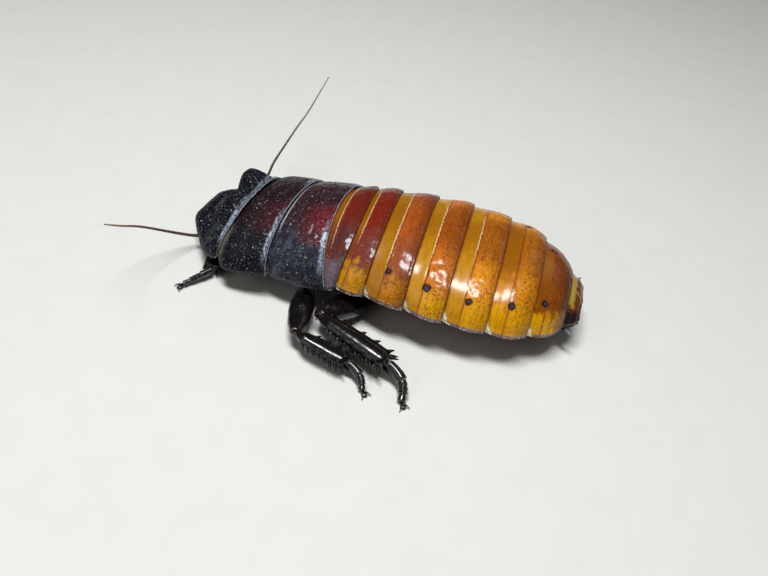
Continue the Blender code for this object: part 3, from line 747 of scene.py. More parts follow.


# Dark plates. Corner, front highlight, lit flank red and glints are strengths of marks that some have; the
# highlight and glints are painted light, the red partly so.
DARK_LOOKS = {
    "pronotum": dict(
        middle=BLACK, outside=(14, 15, 20), reach=0.5, sheen=(-1.0, 0.93),
        grains=0.65, relief=0.08, gloss=0.5, shine=0.06,
    ),
    "mesonotum": dict(
        middle=(34, 14, 18), outside=BLACK, reach=0.60, sheen=(0.35, 0.97),
        grains=0.45, relief=0.05, gloss=0.42, shine=0.08, corner=0.85, lit_flank_red=0.12,
    ),
    "metanotum": dict(
        middle=(50, 14, 18), outside=(22, 22, 34), reach=0.60, sheen=(0.5, 0.97),
        grains=0.5, relief=0.10, gloss=0.32, shine=0.16, front_highlight=0.7, lit_flank_red=0.5, painted_glints=0.45,
    ),
}
# Banded plates: colours of the front band and of the part behind it from the middle to the side,
# place of the ridge, and strengths of the flecks, of the dusk behind and of the pale grains
TERGITE_LOOKS = {
    # tergite_1's grey-purple side is lightened to the shade of a highlight, so it is partly painted
    # highlight.
    "tergite_1": dict(
        band=(128, 66, 26), upper=(104, 22, 16), middle=(76, 36, 38), side=(98, 90, 104),
        ridge=0.28, flecks=0.2, dusk=0.3, cream=0.58, fade=True, grains=0.8,
    ),
    "tergite_2": dict(
        band=(150, 88, 22), upper=(116, 26, 10), middle=(112, 44, 36), side=(196, 134, 6),
        ridge=0.26, flecks=0.4, dusk=0.25, cream=0.52, fade=True, grains=0.7,
    ),
    "tergite_3": dict(
        band=(164, 108, 12), upper=(164, 78, 20), middle=(148, 74, 34), side=(186, 116, 8),
        ridge=0.38, flecks=0.75, dusk=0.5, cream=0.68,
    ),
    "tergite_4": dict(
        band=AMBER, upper=(152, 74, 6), middle=(204, 112, 18), side=GOLD,
        ridge=0.38, flecks=0.8, dusk=0.35, cream=0.50,
    ),
    "tergite_5": dict(
        band=AMBER, upper=(160, 88, 6), middle=(220, 138, 8), side=GOLD,
        ridge=0.38, flecks=0.75, dusk=0.3, cream=0.36,
    ),
    "tergite_6": dict(
        band=(146, 84, 4), upper=(162, 94, 6), middle=(204, 126, 6), side=GOLD,
        ridge=0.40, flecks=0.75, dusk=0.35, fade=True,
    ),
    "tergite_7": dict(
        band=(126, 62, 4), upper=(112, 54, 4), middle=(126, 66, 4), side=GOLD,
        ridge=0.34, flecks=0.7, dusk=0.7, fade=True,
    ),
}
RED_PLATES = ("tergite_1", "tergite_2")
DARK_RIDGE = 0.12
LAST_RIDGE = 0.36
PLATE_ROUGHNESS = {"mesonotum": 1.2, "metanotum": 1.8, "supra_anal_plate": 1.2}
# Dark spots of the back: place across on the left and on the right, place along, radius
SPOT_PLACES = {
    "tergite_3": (0.815, -0.86, 0.44, 0.60),
    "tergite_4": (0.845, -0.82, 0.47, 0.74),
    "tergite_5": (0.855, -0.76, 0.49, 0.68),
    "tergite_6": (0.815, -0.60, 0.47, 0.68),
    "tergite_7": (0.73, -0.38, 0.30, 0.56),
}


def spots_of(before, plate):
    """Middle and reach of the dark spots of a plate, where it has them."""
    if plate[0] not in SPOT_PLACES:
        return []
    left, right, along, radius = SPOT_PLACES[plate[0]]
    place = before[1] + along * (plate[1] - before[1])
    points = [arch(np.array(place), np.array(math.acos(across)), 0.0) for across in (left, right)]
    return [(point, (radius * 0.95, radius, radius)) for point in points]


def make_back():
    for before, plate in zip(PLATE_EDGES, PLATE_EDGES[1:]):
        name = plate[0]
        roughness = PLATE_ROUGHNESS.get(name, 1.0)
        if name in DARK_LOOKS:
            finish = dark_paint(name, **DARK_LOOKS[name])
            make_plate(before, plate, finish, "black_shell", DARK_RIDGE, roughness)
        elif name in TERGITE_LOOKS:
            look = TERGITE_LOOKS[name]
            finish = tergite_paint(name, spots_of(before, plate), **look)
            slot = "red_shell" if name in RED_PLATES else "amber_shell"
            make_plate(before, plate, finish, slot, look["ridge"], roughness)
        else:
            make_plate(before, plate, last_plate_paint(), "amber_shell", LAST_RIDGE, roughness)


# Collar plate


def collar_surface(places, angles):
    """Points of the collar before it is turned, with its horns."""
    half, margin = np.moveaxis(follow(COLLAR_OUTLINE, places), -1, 0)
    height = follow(COLLAR_MIDDLE, places)[..., 0]
    x = half * np.cos(angles)
    z = margin + (height - margin) * np.sin(angles)
    across = (np.abs(x) - HORN_SIDE) / HORN_WIDTH
    tallness = np.where(x > 0.0, HORN_LEFT, HORN_RIGHT)
    z += follow(HORN_RISE, places)[..., 0] * np.exp(-(across**4)) * tallness
    return np.stack([x, places, z], axis=-1)


def make_collar():
    """The collar: grainy, with a raised rim, a double hind edge and a groove along its middle."""
    name, hind, sweep, turn = PLATE_EDGES[0]
    front = COLLAR_MIDDLE[0][0]
    spread = front + 0.004 + (hind - EDGE_ROUND - front) * np.linspace(0.0, 1.0, COLLAR_ROWS) ** 1.5
    rows = np.concatenate([spread, edge_rows(hind)])
    places, angles = np.meshgrid(rows, margin_angles(FINE_COLUMNS), indexing="ij")
    grid = collar_surface(places, angles)
    margin = np.minimum(row_distance(grid), 1.1 * (places - front))
    run = hind - places
    # Grain, then the rim all round, the double hind edge and the groove
    relief = 0.06 * lumps(grid, 0.9, 11) + 0.05 * lumps(grid, 0.42, 12)
    relief += 0.16 * hump(margin, 0.45, 0.30) - 0.08 * hump(margin, 1.3, 0.4)
    relief += 0.13 * hump(run, 0.35, 0.20) - 0.10 * hump(run, 0.85, 0.20) + 0.08 * hump(run, 1.25, 0.22)
    relief -= 0.12 * hump(grid[..., 0], 0.0, 0.35) * smooth_step(places, 9.0, 11.0)
    relief *= np.clip(margin / 0.5, 0.0, 1.0)
    edge = rounding(np.minimum(margin, run))
    normals = grid_normals(grid)
    outer = raised(grid, normals, relief, edge)
    swept = sweep * np.maximum((places - COLLAR_CORNER) / (hind - COLLAR_CORNER), 0.0)
    outer[..., 1] -= swept * (1.0 - np.sin(angles))
    pivot = np.array((0.0, hind, 0.0))
    turned = np.array(Matrix.Rotation(-math.asin(turn), 3, "Z"))
    outer = (outer - pivot) @ turned.T + pivot
    field = np.stack([np.cos(angles), (places - front) / (hind - front), margin], axis=-1)
    shape = plate_shape(outer, normals @ turned.T, edge, field)
    shape.piece(name + "_shell", dark_paint(name, **DARK_LOOKS[name]), "black_shell", name)


# Belly plates


def belly_surface(places, angles, inset):
    """Points of the belly, or of a shallower one that lies higher by an inset."""
    half, _, margin = np.moveaxis(follow(BACK_RINGS, places), -1, 0)
    edge = margin - BELLY_EDGE_DROP
    lowest = follow(BELLY, places)[..., 0]
    x = (half * BELLY_WIDTH - inset) * np.cos(angles)
    z = edge - (edge - lowest - inset) * np.sin(angles)
    return np.stack([x, places, z], axis=-1)


def belly_paint():
    """Tan shell, darker behind and at the sides, with flecks and a slit near each side."""
    paint = Paint("belly_shell", coat=0.4, coat_roughness=0.15)
    across = abs(paint.across)
    wander = paint.noise(1.2) - 0.5
    fine = paint.noise(0.25, 4.0, 0.65)
    distance, chance = paint.cells(0.38)
    paint.colour(
        (186, 110, 36),
        ((paint.along + wander * 0.08).step(0.25, 0.5), (104, 44, 14)),
        ((across + wander * 0.3).step(0.55, 0.95), BROWN),
        (paint.along.step(0.9, 0.98, 0.0, 0.8), (40, 14, 8)),
        (fine.step(0.5, 0.7) * 0.3, AMBER_DEEP),
        (paint.noise(0.8, 5.0, 0.65, (0.6, 1.2, 1.0)).step(0.48, 0.66) * 0.55, (84, 34, 14)),
        (distance.step(0.42, 0.2) * chance.step(0.45, 0.7) * 0.6, (48, 20, 10)),
        (across.band(0.90, 0.022) * paint.along.band(0.34, 0.10), (14, 8, 8)),
        ((paint.margin + wander * 0.5).step(0.8, 0.4) * 0.8, (38, 18, 16)),
    )
    paint.set("Roughness", 0.26 + fine * 0.2)
    paint.bump(distance.step(0.1, 0.5) + fine, 0.06, 0.9)
    paint.bump(paint.noise(0.9, 4.0, 0.6, (0.5, 1.4, 1.0)), 0.10, 0.7)
    return paint.material


def make_belly():
    """Six overlapping belly plates, the last one with a rounded hind edge."""
    finish = belly_paint()
    edges = [*BELLY_EDGES, SUBGENITAL_END]
    names = [f"sternite_{number}" for number in range(2, 7)] + ["subgenital_plate"]
    for name, front, hind in zip(names, edges, edges[1:]):
        length = hind - front
        ridge = BELLY_RIDGE * length
        offsets = row_offsets(length, BELLY_STEP)
        drops = row_drops(offsets, length, ridge)
        angles, run = np.meshgrid(margin_angles(BELLY_COLUMNS), offsets)
        grid = belly_surface(front + run, angles, drops[:, None] + 0.0 * angles)
        if name == "subgenital_plate":
            grid[..., 1] -= 1.6 * np.cos(angles) ** 2 * smooth_step(run, ridge, length)
        relief = 0.03 * lumps(grid, 1.2, 21) + 0.04 * hump(run, ridge, 0.12)
        relief += 0.05 * hump(run, length - 0.35, 0.16)
        add_plate(name, grid, -grid_normals(grid), angles, run, length, relief, finish, "belly_shell")


# The soft skin between the shells

SKIN_INSET = 1.15
SKIN_ROWS = 190
SKIN_SIDES = 144
NECK_START, NECK_END, NECK_HEIGHT = 11.4, 13.8, 5.6
TAIL_START, TAIL_END, TAIL_HEIGHT = 69.0, 70.6, 5.0
THORAX_FLOOR = 5.2  # underside of the thorax
THORAX_END, ABDOMEN_START = 30.5, 35.0


def skin_paint():
    """Tan folds, darker in front of the belly, where brown shields lie, and black at the tail, which is
    painted shade in the opening under the last plates.
    """
    paint = Paint("skin", roughness=0.5, coat=0.1, coat_roughness=0.3)
    fine = paint.noise(0.3, 5.0, 0.65)
    dark = paint.along.step(34.0, 30.0)
    below = dark * paint.margin.step(-0.25, -0.45)
    beat = (paint.along * 0.16 + fine * 0.06).to_whole()
    shield = below * beat.step(0.05, 0.10) * abs(paint.across).step(0.62, 0.48)
    paint.colour(
        (206, 178, 122),
        (paint.noise(1.5, 4.0).step(0.35, 0.65), (170, 130, 78)),
        (fine.step(0.5, 0.75) * 0.5, (110, 70, 36)),
        (dark * 0.9, (64, 44, 34)),
        (shield * 0.9, (30, 16, 12)),
        (below * fine.step(0.5, 0.7) * 0.5, (112, 84, 60)),
        # Black at the tail end, seen between the last plates: painted shade.
        (paint.along.step(66.8, 68.6, 0.0, 0.92), (38, 18, 12)),
    )
    paint.set("Roughness", 0.4 + fine * 0.2)
    paint.bump(paint.noise(0.5, 5.0, 0.6, (1.0, 2.2, 0.7)), 0.12, 0.7)
    return paint.material


def make_skin():
    """One body from the neck to the tail, with folds along its sides and across its joints."""
    places = np.concatenate([np.linspace(NECK_START, 13.6, 8), np.linspace(NECK_END, TAIL_END, SKIN_ROWS)])
    turn = np.linspace(0.0, 2.0 * math.pi, SKIN_SIDES, endpoint=False)
    run, around = np.meshgrid(places, turn, indexing="ij")
    half, height, margin = np.moveaxis(follow(BACK_RINGS, run), -1, 0)
    lowest = follow(BELLY, run)[..., 0] + SKIN_INSET
    floor = THORAX_FLOOR + (lowest - THORAX_FLOOR) * smooth_step(run, THORAX_END, ABDOMEN_START)
    sine = np.sin(around)
    rise = np.where(sine > 0.0, height - margin - SKIN_INSET, margin - floor) * sine
    pinch = 1.0 - 0.10 * smooth_step(-sine, 0.0, 0.5)
    x = (half - SKIN_INSET * SIDE_INSET) * np.cos(around) * pinch
    grid = np.stack([x, run, margin + rise], axis=-1)
    lean = follow([(place, turned) for _, place, _, turned in PLATE_EDGES], run)[..., 0]
    grid[..., 1] -= lean * grid[..., 0]
    neck = 1.0 - smooth_step(run, NECK_START, NECK_END)
    grid[..., 0] *= 1.0 - 0.87 * neck
    grid[..., 2] += (NECK_HEIGHT - grid[..., 2]) * 0.75 * neck
    tail = smooth_step(run, TAIL_START, TAIL_END)
    grid[..., 0] *= 1.0 - 0.6 * tail
    grid[..., 2] += (TAIL_HEIGHT - grid[..., 2]) * 0.6 * tail
    out = unit(np.stack([np.cos(around), 0.0 * run, sine], axis=-1))
    folds = 0.06 * np.sin(run * 5.2 + 1.5 * lumps(grid, 2.0, 31)) + 0.10 * lumps(grid, 0.9, 32)
    grid += out * (folds * (1.0 - smooth_step(sine, 0.1, 0.4)))[..., None]
    shape = Shape()
    shape.grid(grid, np.stack([np.cos(around), run, sine], axis=-1))
    shape.piece("skin", skin_paint(), "soft_skin", "thorax_core", "abdomen_core", "neck")


# Limbs. Their profiles hold: part of the length, half breadth, half depth

HIP_PROFILE = ((0.0, 1.4, 0.45), (0.15, 2.4, 0.8), (0.5, 2.6, 0.9), (0.85, 1.4, 0.65), (1.0, 0.6, 0.4))
THIGH_PROFILE = (
    (0.0, 0.6, 0.5), (0.12, 1.15, 0.8), (0.5, 2.1, 1.4), (0.82, 1.65, 1.18), (0.92, 1.2, 1.0),
    (1.0, 0.8, 0.75),
)
KNUCKLE_PROFILE = ((0.0, 0.62, 0.5), (0.5, 0.7, 0.6), (1.0, 0.6, 0.5))
SHIN_PROFILE = (
    (0.0, 0.5, 0.5), (0.1, 0.85, 0.75), (0.18, 1.1, 0.9), (0.55, 1.36, 1.08), (0.9, 1.42, 1.13),
    (1.0, 1.0, 0.85),
)
# A spine: part of its length, radius in parts of its own
SPINE_PROFILE = (
    (0.0, 1.45), (0.06, 1.5), (0.12, 1.05), (0.3, 0.95), (0.5, 0.78),
    (0.7, 0.56), (0.86, 0.34), (0.96, 0.16), (1.0, 0.05),
)
# Spines of a thigh: part of the length, turn from the underside
THIGH_SPINES = ((0.62, -0.5), (0.74, 0.5), (0.84, -0.5), (0.95, 0.3))
# Rows of spines of a shin: turn from the upper side, count, first and last part, length
SHIN_SPINES = (
    (-1.85, 8, 0.14, 0.94, 1.20), (1.85, 8, 0.18, 0.94, 1.20), (-2.75, 6, 0.22, 0.90, 0.95),
    (2.75, 6, 0.26, 0.90, 0.95), (-1.15, 4, 0.34, 0.92, 0.8), (1.15, 4, 0.40, 0.88, 0.8),
)
ANKLE_SPINE_TURNS = (-2.3, -1.1, 1.1, 2.3)
FOOT_RADIUS = 0.66
FOOT_BEND = 0.75
FOOT_JOINTS = (0.0, 0.40, 0.54, 0.66, 0.77, 1.0)
FOOT_SIDES = 20
PAD_LENGTH = 1.1
CLAW_REACH, CLAW_SPREAD, CLAW_RADIUS = 1.25, 0.75, 0.19
ACROSS = np.array((1.0, 0.0, 0.0))
UP = np.array((0.0, 0.0, 1.0))
LEVEL = np.array((1.0, 1.0, 0.0))


def side_axes(directions):
    """Across and depth directions of a limb that runs along directions."""
    across = unit(np.cross(directions, UP))
    return across, unit(np.cross(across, directions))


def sweep(route, breadths, depths, sides, squareness=2.0):
    """Rings of points round a route, from half breadths and half depths."""
    across, deep = side_axes(unit(np.gradient(route, axis=0)))
    angles = 2.0 * math.pi * (np.arange(sides) + 0.5) / sides
    wide = np.sign(np.cos(angles)) * np.abs(np.cos(angles)) ** (2.0 / squareness)
    high = np.sign(np.sin(angles)) * np.abs(np.sin(angles)) ** (2.0 / squareness)
    spread = across[:, None] * (wide * breadths[:, None])[..., None]
    lift = deep[:, None] * (high * depths[:, None])[..., None]
    return route[:, None] + spread + lift


def round_ends(parts, length, reach):
    """From 0 at the ends of a length to 1 where the round ends begin."""
    distance = np.minimum(parts, 1.0 - parts) * length
    inside = np.clip(distance / reach, 0.0, 1.0)
    return np.sqrt(np.maximum(1.0 - (1.0 - inside) ** 2, 0.0004))


def limb_rings(start, end, profile, size, rows, sides, bow=(0.0, 0.0, 0.0)):
    """Rings of a limb with round ends, and the part of its length at each of them."""
    start, end = np.array(start, float), np.array(end, float)
    parts = end_parts(rows)
    route = start + (end - start) * parts[:, None]
    route = route + np.array(bow) * np.sin(math.pi * parts)[:, None]
    breadth, depth = follow(profile, parts).T * size
    ends = round_ends(parts, np.linalg.norm(end - start), 0.5 * size)
    return sweep(route, breadth * ends, depth * ends, sides, 2.2), parts


def outward(rings):
    """Directions of points away from the middle of their ring."""
    return unit(rings - rings.mean(axis=1, keepdims=True))


def roughen(rings, amount, size, seed):
    """Push points in or out by smooth noise."""
    return rings + outward(rings) * (amount * lumps(rings, size, seed))[..., None]


def add_spine(shape, middle, axes, turn, reach, length, radius, lean=0.55, flare=1.0):
    """A curved spine with a swollen foot, at a turn round its limb and leaning along it.

    The axes are the across, depth and length directions of the limb, and the reach is how far
    the foot lies from the middle of the limb along the first two.
    """
    across, deep, along = axes
    sideways, up = across * math.sin(turn), deep * math.cos(turn)
    base = middle + sideways * reach[0] + up * reach[1]
    direction = unit((sideways + up) * flare + along * lean)
    parts, radii = np.array(SPINE_PROFILE).T
    curve = along * (0.10 * length * parts**2)[:, None]
    route = base - direction * 0.12 + direction * (length * parts)[:, None] + curve
    shape.tube(sweep(route, radii * radius, radii * radius, 8), parts, 1.0)


def leg_paint(name, pale_ends=0.0):
    """Wet-looking black shell with a few tan marks at its joints. Spines are duller."""
    paint = Paint(name, coat=0.9, coat_roughness=0.13, specular=0.25)
    fine = paint.noise(0.3, 4.0, 0.6)
    ends = paint.math("MAXIMUM", paint.along.step(0.08, 0.0), paint.along.step(0.95, 1.0))
    spine = paint.margin.step(0.4, 0.6)
    coats = [
        (paint.noise(1.2, 3.0).step(0.45, 0.75), (24, 12, 12)),
        (ends * 0.5, (40, 14, 12)),
    ]
    if pale_ends:
        coats.append((ends * paint.noise(0.5).step(0.60, 0.68) * pale_ends, (170, 112, 70)))
    coats += [(paint.specks(0.6, 0.6, 0.25, 0.14), (150, 156, 172)), (spine, (8, 7, 8))]
    paint.colour((9, 8, 10), *coats)
    paint.set("Roughness", 0.16 + fine * 0.2 + spine * 0.25)
    patchy = paint.noise(0.8, 4.0, 0.65).step(0.40, 0.56, 0.30, 1.0)
    paint.set("Coat Weight", paint.margin.step(0.4, 0.6, 0.9, 0.1) * patchy)
    paint.bump(paint.noise(0.55, 5.0, 0.6), 0.05, 0.7)
    return paint.material


def foot_paint():
    """Foot with faint pale rings where its joints meet, which are painted glints, and brown soles."""
    paint = Paint("foot_shell", coat=0.6, coat_roughness=0.10, specular=0.3)
    fine = paint.noise(0.2, 4.0, 0.6)
    ring = paint.along.to_whole().step(0.08, 0.02)
    paint.colour(
        (13, 11, 14),
        (fine.step(0.4, 0.7), (36, 24, 26)),
        # Pale rings at the joints: painted glints.
        (ring * fine.step(0.35, 0.55) * 0.6, (150, 134, 126)),
        (paint.margin.step(0.5, 0.9), (54, 42, 38)),
    )
    paint.set("Roughness", 0.2 + fine * 0.2)
    paint.bump(paint.noise(0.3, 4.0, 0.6), 0.05, 0.7)
    return paint.material


def make_hip(name, base, end, size, finish):
    """Broad flat hip that lies along the underside of the thorax."""
    shape = Shape()
    rings, parts = limb_rings(base, end, HIP_PROFILE, size, 60, 40)
    shape.tube(roughen(rings, 0.05, 1.2, 41), parts)
    shape.piece(f"hip_{name}", finish, "leg_shell", f"coxa_{name}")


def make_thigh(name, hip_end, start, knee, size, finish):
    """Thigh with a groove between two ridges on its underside, and the knuckle at its hip."""
    shape = Shape()
    end = np.array(knee)
    direction = unit(end - start)
    rings, parts = limb_rings(start, end + direction * 0.25 * size, THIGH_PROFILE, size, 72, 40)
    across, deep = side_axes(direction)
    out = outward(rings)
    side, down = out @ across, -(out @ deep)
    body = np.sin(math.pi * parts)[:, None]
    groove = 0.22 * size * body * np.maximum(down, 0.0) ** 2 * hump(side, 0.0, 0.35)
    ridge = 0.12 * size * body * hump(np.abs(side), 0.5, 0.16) * (down > 0.0)
    rings = rings + out * (ridge - groove)[..., None]
    shape.tube(roughen(rings, 0.04, 0.9, 42), parts)
    shape.tube(*limb_rings(hip_end, start + direction * 1.2 * size, KNUCKLE_PROFILE, size, 24, 20))
    length = np.linalg.norm(end - start)
    for part, turn in THIGH_SPINES:
        reach = follow(THIGH_PROFILE, part) * size * (0.9, 0.85)
        middle = start + direction * part * length
        add_spine(shape, middle, (across, -deep, direction), turn, reach, 0.8 * size, 0.18 * size)
    shape.piece(f"thigh_{name}", finish, "leg_shell", f"femur_{name}")


def make_shin(name, knee, ankle, size, finish):
    """Shin with rows of strong spines and a crown of them at the ankle."""
    shape = Shape()
    knee, ankle = np.array(knee), np.array(ankle)
    direction = unit(ankle - knee)
    start = knee + direction * 0.3 * size
    rings, parts = limb_rings(start, ankle, SHIN_PROFILE, size, 72, 36)
    across, deep = side_axes(direction)
    out = outward(rings)
    edge = 0.14 * size * np.sin(math.pi * parts)[:, None] * hump(out @ deep, 0.25, 0.2)
    shape.tube(roughen(rings + out * edge[..., None], 0.03, 0.8, 43), parts)
    length = np.linalg.norm(ankle - start)
    axes = (across, deep, direction)
    for turn, count, first, last, tall in SHIN_SPINES:
        for part in np.linspace(first, last, count):
            reach = follow(SHIN_PROFILE, part) * size * 0.94
            middle = start + direction * part * length
            add_spine(shape, middle, axes, turn, reach, tall * size * (0.9 + 0.35 * part), 0.30 * size, 0.75)
    middle = ankle - direction * 0.25
    reach = (0.7 * size, 0.7 * size)
    for turn in ANKLE_SPINE_TURNS:
        add_spine(shape, middle, axes, turn, reach, 1.25 * size, 0.27 * size, 1.0, 0.45)
    shape.piece(f"shin_{name}", finish, "leg_shell", f"tibia_{name}")


def foot_joints(start, foot, size, bow):
    """Route and radii of a foot, and its joints counted along it."""
    route, radii, counts = [], [], []
    for joint, (low, high) in enumerate(zip(FOOT_JOINTS, FOOT_JOINTS[1:])):
        last = joint == len(FOOT_JOINTS) - 2
        for part in (0.0, 0.05, 0.15, 0.35, 0.6, 0.8, 0.93, 1.0):
            along = low + (high - low) * part
            bend = np.array((0.0, bow, 0.0)) * math.sin(math.pi * along**FOOT_BEND)
            route.append(start + (foot - start) * along + bend)
            swell = 0.76 + 0.2 * part**2 if last else 0.86 + 0.24 * part**1.4
            pinched = 0.82 if part in (0.0, 1.0) else 1.0
            radii.append(FOOT_RADIUS * size * swell * pinched * (1.12 if joint == 0 else 1.0))
            counts.append(joint + part)
    return np.array(route), np.array(radii), np.array(counts)


def make_foot(name, ankle, foot, size, bow, finish):
    """Five-jointed foot with pads under its joints, a flat end pad and two curved claws."""
    shape = Shape()
    ankle, foot = np.array(ankle), np.array(foot)
    direction = unit(foot - ankle)
    flat = unit(direction * LEVEL)
    route, radii, counts = foot_joints(ankle + direction * 0.1, foot, size, bow)
    radii = np.minimum(radii, np.maximum(route[:, 2], 0.12))
    rings = sweep(route, radii, radii * 1.05, FOOT_SIDES)
    rings[..., 2] = np.maximum(rings[..., 2], 0.02)
    under = np.where(np.arange(FOOT_SIDES) >= FOOT_SIDES // 2, 0.55, 0.0)
    shape.tube(rings, counts, under * (counts[:, None] % 1.0 > 0.5))
    parts = end_parts(14)
    route = foot * LEVEL + flat * (0.15 + PAD_LENGTH * parts)[:, None] + UP * 0.2
    swell = round_ends(parts, PAD_LENGTH, 0.5)
    pad = sweep(route, 0.46 * swell, 0.32 * swell, FOOT_SIDES)
    pad[..., 2] = np.maximum(pad[..., 2], 0.0)
    shape.tube(pad, 0.5 + 0.0 * parts, 1.0)
    across = unit(np.cross(flat, UP))
    parts = np.linspace(0.0, 1.0, 10)
    radii = CLAW_RADIUS * (1.0 - 0.85 * parts)
    for sign in (1, -1):
        claw = foot + flat * (0.1 + CLAW_REACH * np.sin(1.45 * parts))[:, None]
        claw = claw + across * (sign * (0.14 + CLAW_SPREAD * parts**1.2))[:, None]
        claw[:, 2] = 0.52 + 0.14 * np.sin(math.pi * parts) - 0.42 * parts**2
        shape.tube(sweep(claw, radii, radii * 1.3, 10), 0.5 + 0.0 * parts)
    shape.piece(f"foot_{name}", finish, "leg_shell", f"tarsus_{name}")


def make_legs():
    finish = leg_paint("leg_shell", 0.8)
    hip_finish = leg_paint("hip_shell")
    soles = foot_paint()
    for name, (knee, ankle, foot) in LEGS.items():
        pair, side = name.split("_")
        size = LEG_SIZE[pair]
        base, hip_end = np.array(HIPS[pair]) * (SIGNS[side], 1.0, 1.0)
        knuckle = hip_end + unit(hip_end - base) * KNUCKLE_REACH - UP * KNUCKLE_DROP
        make_hip(name, base, hip_end, size, hip_finish)
        make_thigh(name, hip_end, knuckle, knee, size, finish)
        make_shin(name, knee, ankle, size, finish)
        make_foot(name, ankle, foot, size, FOOT_BOW[pair], soles)


# Head

LIP_PROFILE = ((0.0, 1.25, 0.28), (0.5, 1.2, 0.26), (0.8, 1.0, 0.2), (1.0, 0.6, 0.12))
JAW_PROFILE = ((0.0, 0.5, 0.55), (0.4, 0.62, 0.6), (0.8, 0.4, 0.4), (1.0, 0.15, 0.15))
# Lips: part of the way down the face and height off it, at the start and at the end, then size
LIPS = ((0.97, 0.45, 1.28, 0.35, 1.0), (0.93, -0.55, 1.24, -0.35, 0.9))
HEAD_ROWS, HEAD_SIDES = 90, 96
SOCKET_SIDE, SOCKET_PART = 1.75, 0.42  # sockets of the feelers
EYE_PART, EYE_SIDE = 0.26, 3.15
EYE_RADII = (0.85, 1.05, 1.25)
EYE_ROWS, EYE_SIDES = 30, 48
FACE_SPAN = np.array(HEAD_MOUTH) - np.array(HEAD_TOP)
DOWN = unit(FACE_SPAN)
FACE = -side_axes(DOWN)[1]  # the way that the face looks


def on_face(part, x, out=0.0):
    """Point at a part of the way down the face, x to the left and a height off its middle plane."""
    return np.array(HEAD_TOP) + FACE_SPAN * part + ACROSS * x + FACE * out


def head_paint():
    """Brown black face, tan at its lower end, with two pale simple eyes."""
    paint = Paint("head_shell", coat=0.5, coat_roughness=0.12)
    fine = paint.noise(0.2, 4.0, 0.6)
    paint.colour(
        (18, 15, 17),
        (paint.noise(0.9, 4.0).step(0.4, 0.7), (52, 24, 18)),
        (paint.along.step(0.80, 0.93), (110, 60, 30)),
        (paint.margin * 0.8, (200, 160, 96)),
    )
    paint.set("Roughness", 0.2 + fine * 0.2)
    paint.bump(paint.cells(0.22)[0].step(0.0, 0.6, 1.0, 0.0) + fine, 0.03, 0.7)
    return paint.material


def face_relief(x, part, front):
    """Height over the head's plain form, from places across and parts of the way down."""
    side = np.abs(x)
    socket_ring = np.hypot((side - SOCKET_SIDE) / 0.62, (part - SOCKET_PART) / 0.135)
    # A crowned front, the feelers' sockets with their rims, two seams across and three down the face
    relief = 0.16 * front * hump(part, 0.45, 0.16) * hump(x, 0.0, 1.3)
    relief -= 0.28 * front * hump(side, SOCKET_SIDE, 0.55) * hump(part, SOCKET_PART, 0.10)
    relief += 0.12 * front * hump(socket_ring, 1.0, 0.3)
    relief -= 0.10 * front * (hump(part, 0.68 + 0.02 * x**2, 0.018) + hump(part, 0.86, 0.015))
    relief -= 0.07 * front * hump(x, 0.0, 0.08) * smooth_step(part, 0.40, 0.05)
    relief -= 0.07 * front * hump(side, 0.55 + 2.6 * (part - 0.12), 0.08) * (part < 0.36)
    return relief


def make_head():
    finish = head_paint()
    parts = end_parts(HEAD_ROWS)
    breadth, depth = follow(HEAD_PROFILE, parts).T
    ends = round_ends(parts, np.linalg.norm(FACE_SPAN), 0.7)
    route = np.array([on_face(part, 0.0) for part in parts])
    rings = sweep(route, breadth * ends, depth * ends, HEAD_SIDES, 2.4)
    out = outward(rings)
    front = np.maximum(out @ FACE, 0.0)
    x = rings[..., 0]
    part = parts[:, None] + 0.0 * x
    relief = face_relief(x, part, front) + 0.02 * lumps(rings, 0.5, 51)
    simple_eyes = hump(np.abs(x), 1.15, 0.28) * hump(part, 0.30, 0.05) * front
    shape = Shape()
    shape.tube(rings + out * relief[..., None], parts, simple_eyes)
    shape.piece("head_capsule", finish, "head_shell", "head")
    make_eyes()
    make_mouth(finish)


def make_eyes():
    """Kidney-shaped eyes with fine facets, notched on the side of the feelers."""
    paint = Paint("eye", roughness=0.16, coat=0.6, coat_roughness=0.06)
    facets, _ = paint.cells(0.075)
    paint.colour((30, 12, 16), (facets.step(0.2, 0.6), (8, 6, 9)))
    paint.bump(facets.step(0.6, 0.0), 0.02, 1.0)
    lons = np.arange(EYE_SIDES) * 2 * math.pi / EYE_SIDES
    lon, lat = np.meshgrid(lons, np.linspace(0.03, math.pi - 0.03, EYE_ROWS))
    wide, deep, tall = np.cos(lon) * np.sin(lat), np.sin(lon) * np.sin(lat), np.cos(lat)
    half_width, half_depth, half_height = EYE_RADII
    for side, sign in SIGNS.items():
        notch = 1.0 - 0.28 * hump(tall, 0.35, 0.35) * smooth_step(-wide * sign, -0.2, 0.8)
        eye = on_face(EYE_PART, sign * EYE_SIDE, 0.1) + ACROSS * (wide * half_width * notch)[..., None]
        eye = eye + FACE * (deep * half_depth * notch)[..., None] + DOWN * (tall * half_height)[..., None]
        shape = Shape()
        shape.grid(eye, np.stack([wide, deep, tall], axis=-1))
        shape.piece(f"compound_eye_{side}", paint.material, "eye_black", f"eye_{side}")


def make_mouth(finish):
    """Upper lip, jaws and lower lip at the end of the face."""
    shape = Shape()
    for start, start_out, end, end_out, size in LIPS:
        ends = (on_face(start, 0.0, start_out), on_face(end, 0.0, end_out))
        rings, parts = limb_rings(*ends, LIP_PROFILE, size, 30, 32)
        shape.tube(rings, 0.92 + 0.08 * parts)
    for sign in SIGNS.values():
        start, end = on_face(0.88, sign * 1.55, 0.0), on_face(1.22, sign * 0.55, 0.0)
        rings, parts = limb_rings(start, end, JAW_PROFILE, 1.0, 30, 24, (sign * 0.3, 0, 0))
        shape.tube(rings, 0.4 + 0.2 * parts)
    shape.piece("mouth", finish, "head_shell", "mouthparts")


# Feelers, palps and tail feelers. Their thickness holds: part of the length, radius

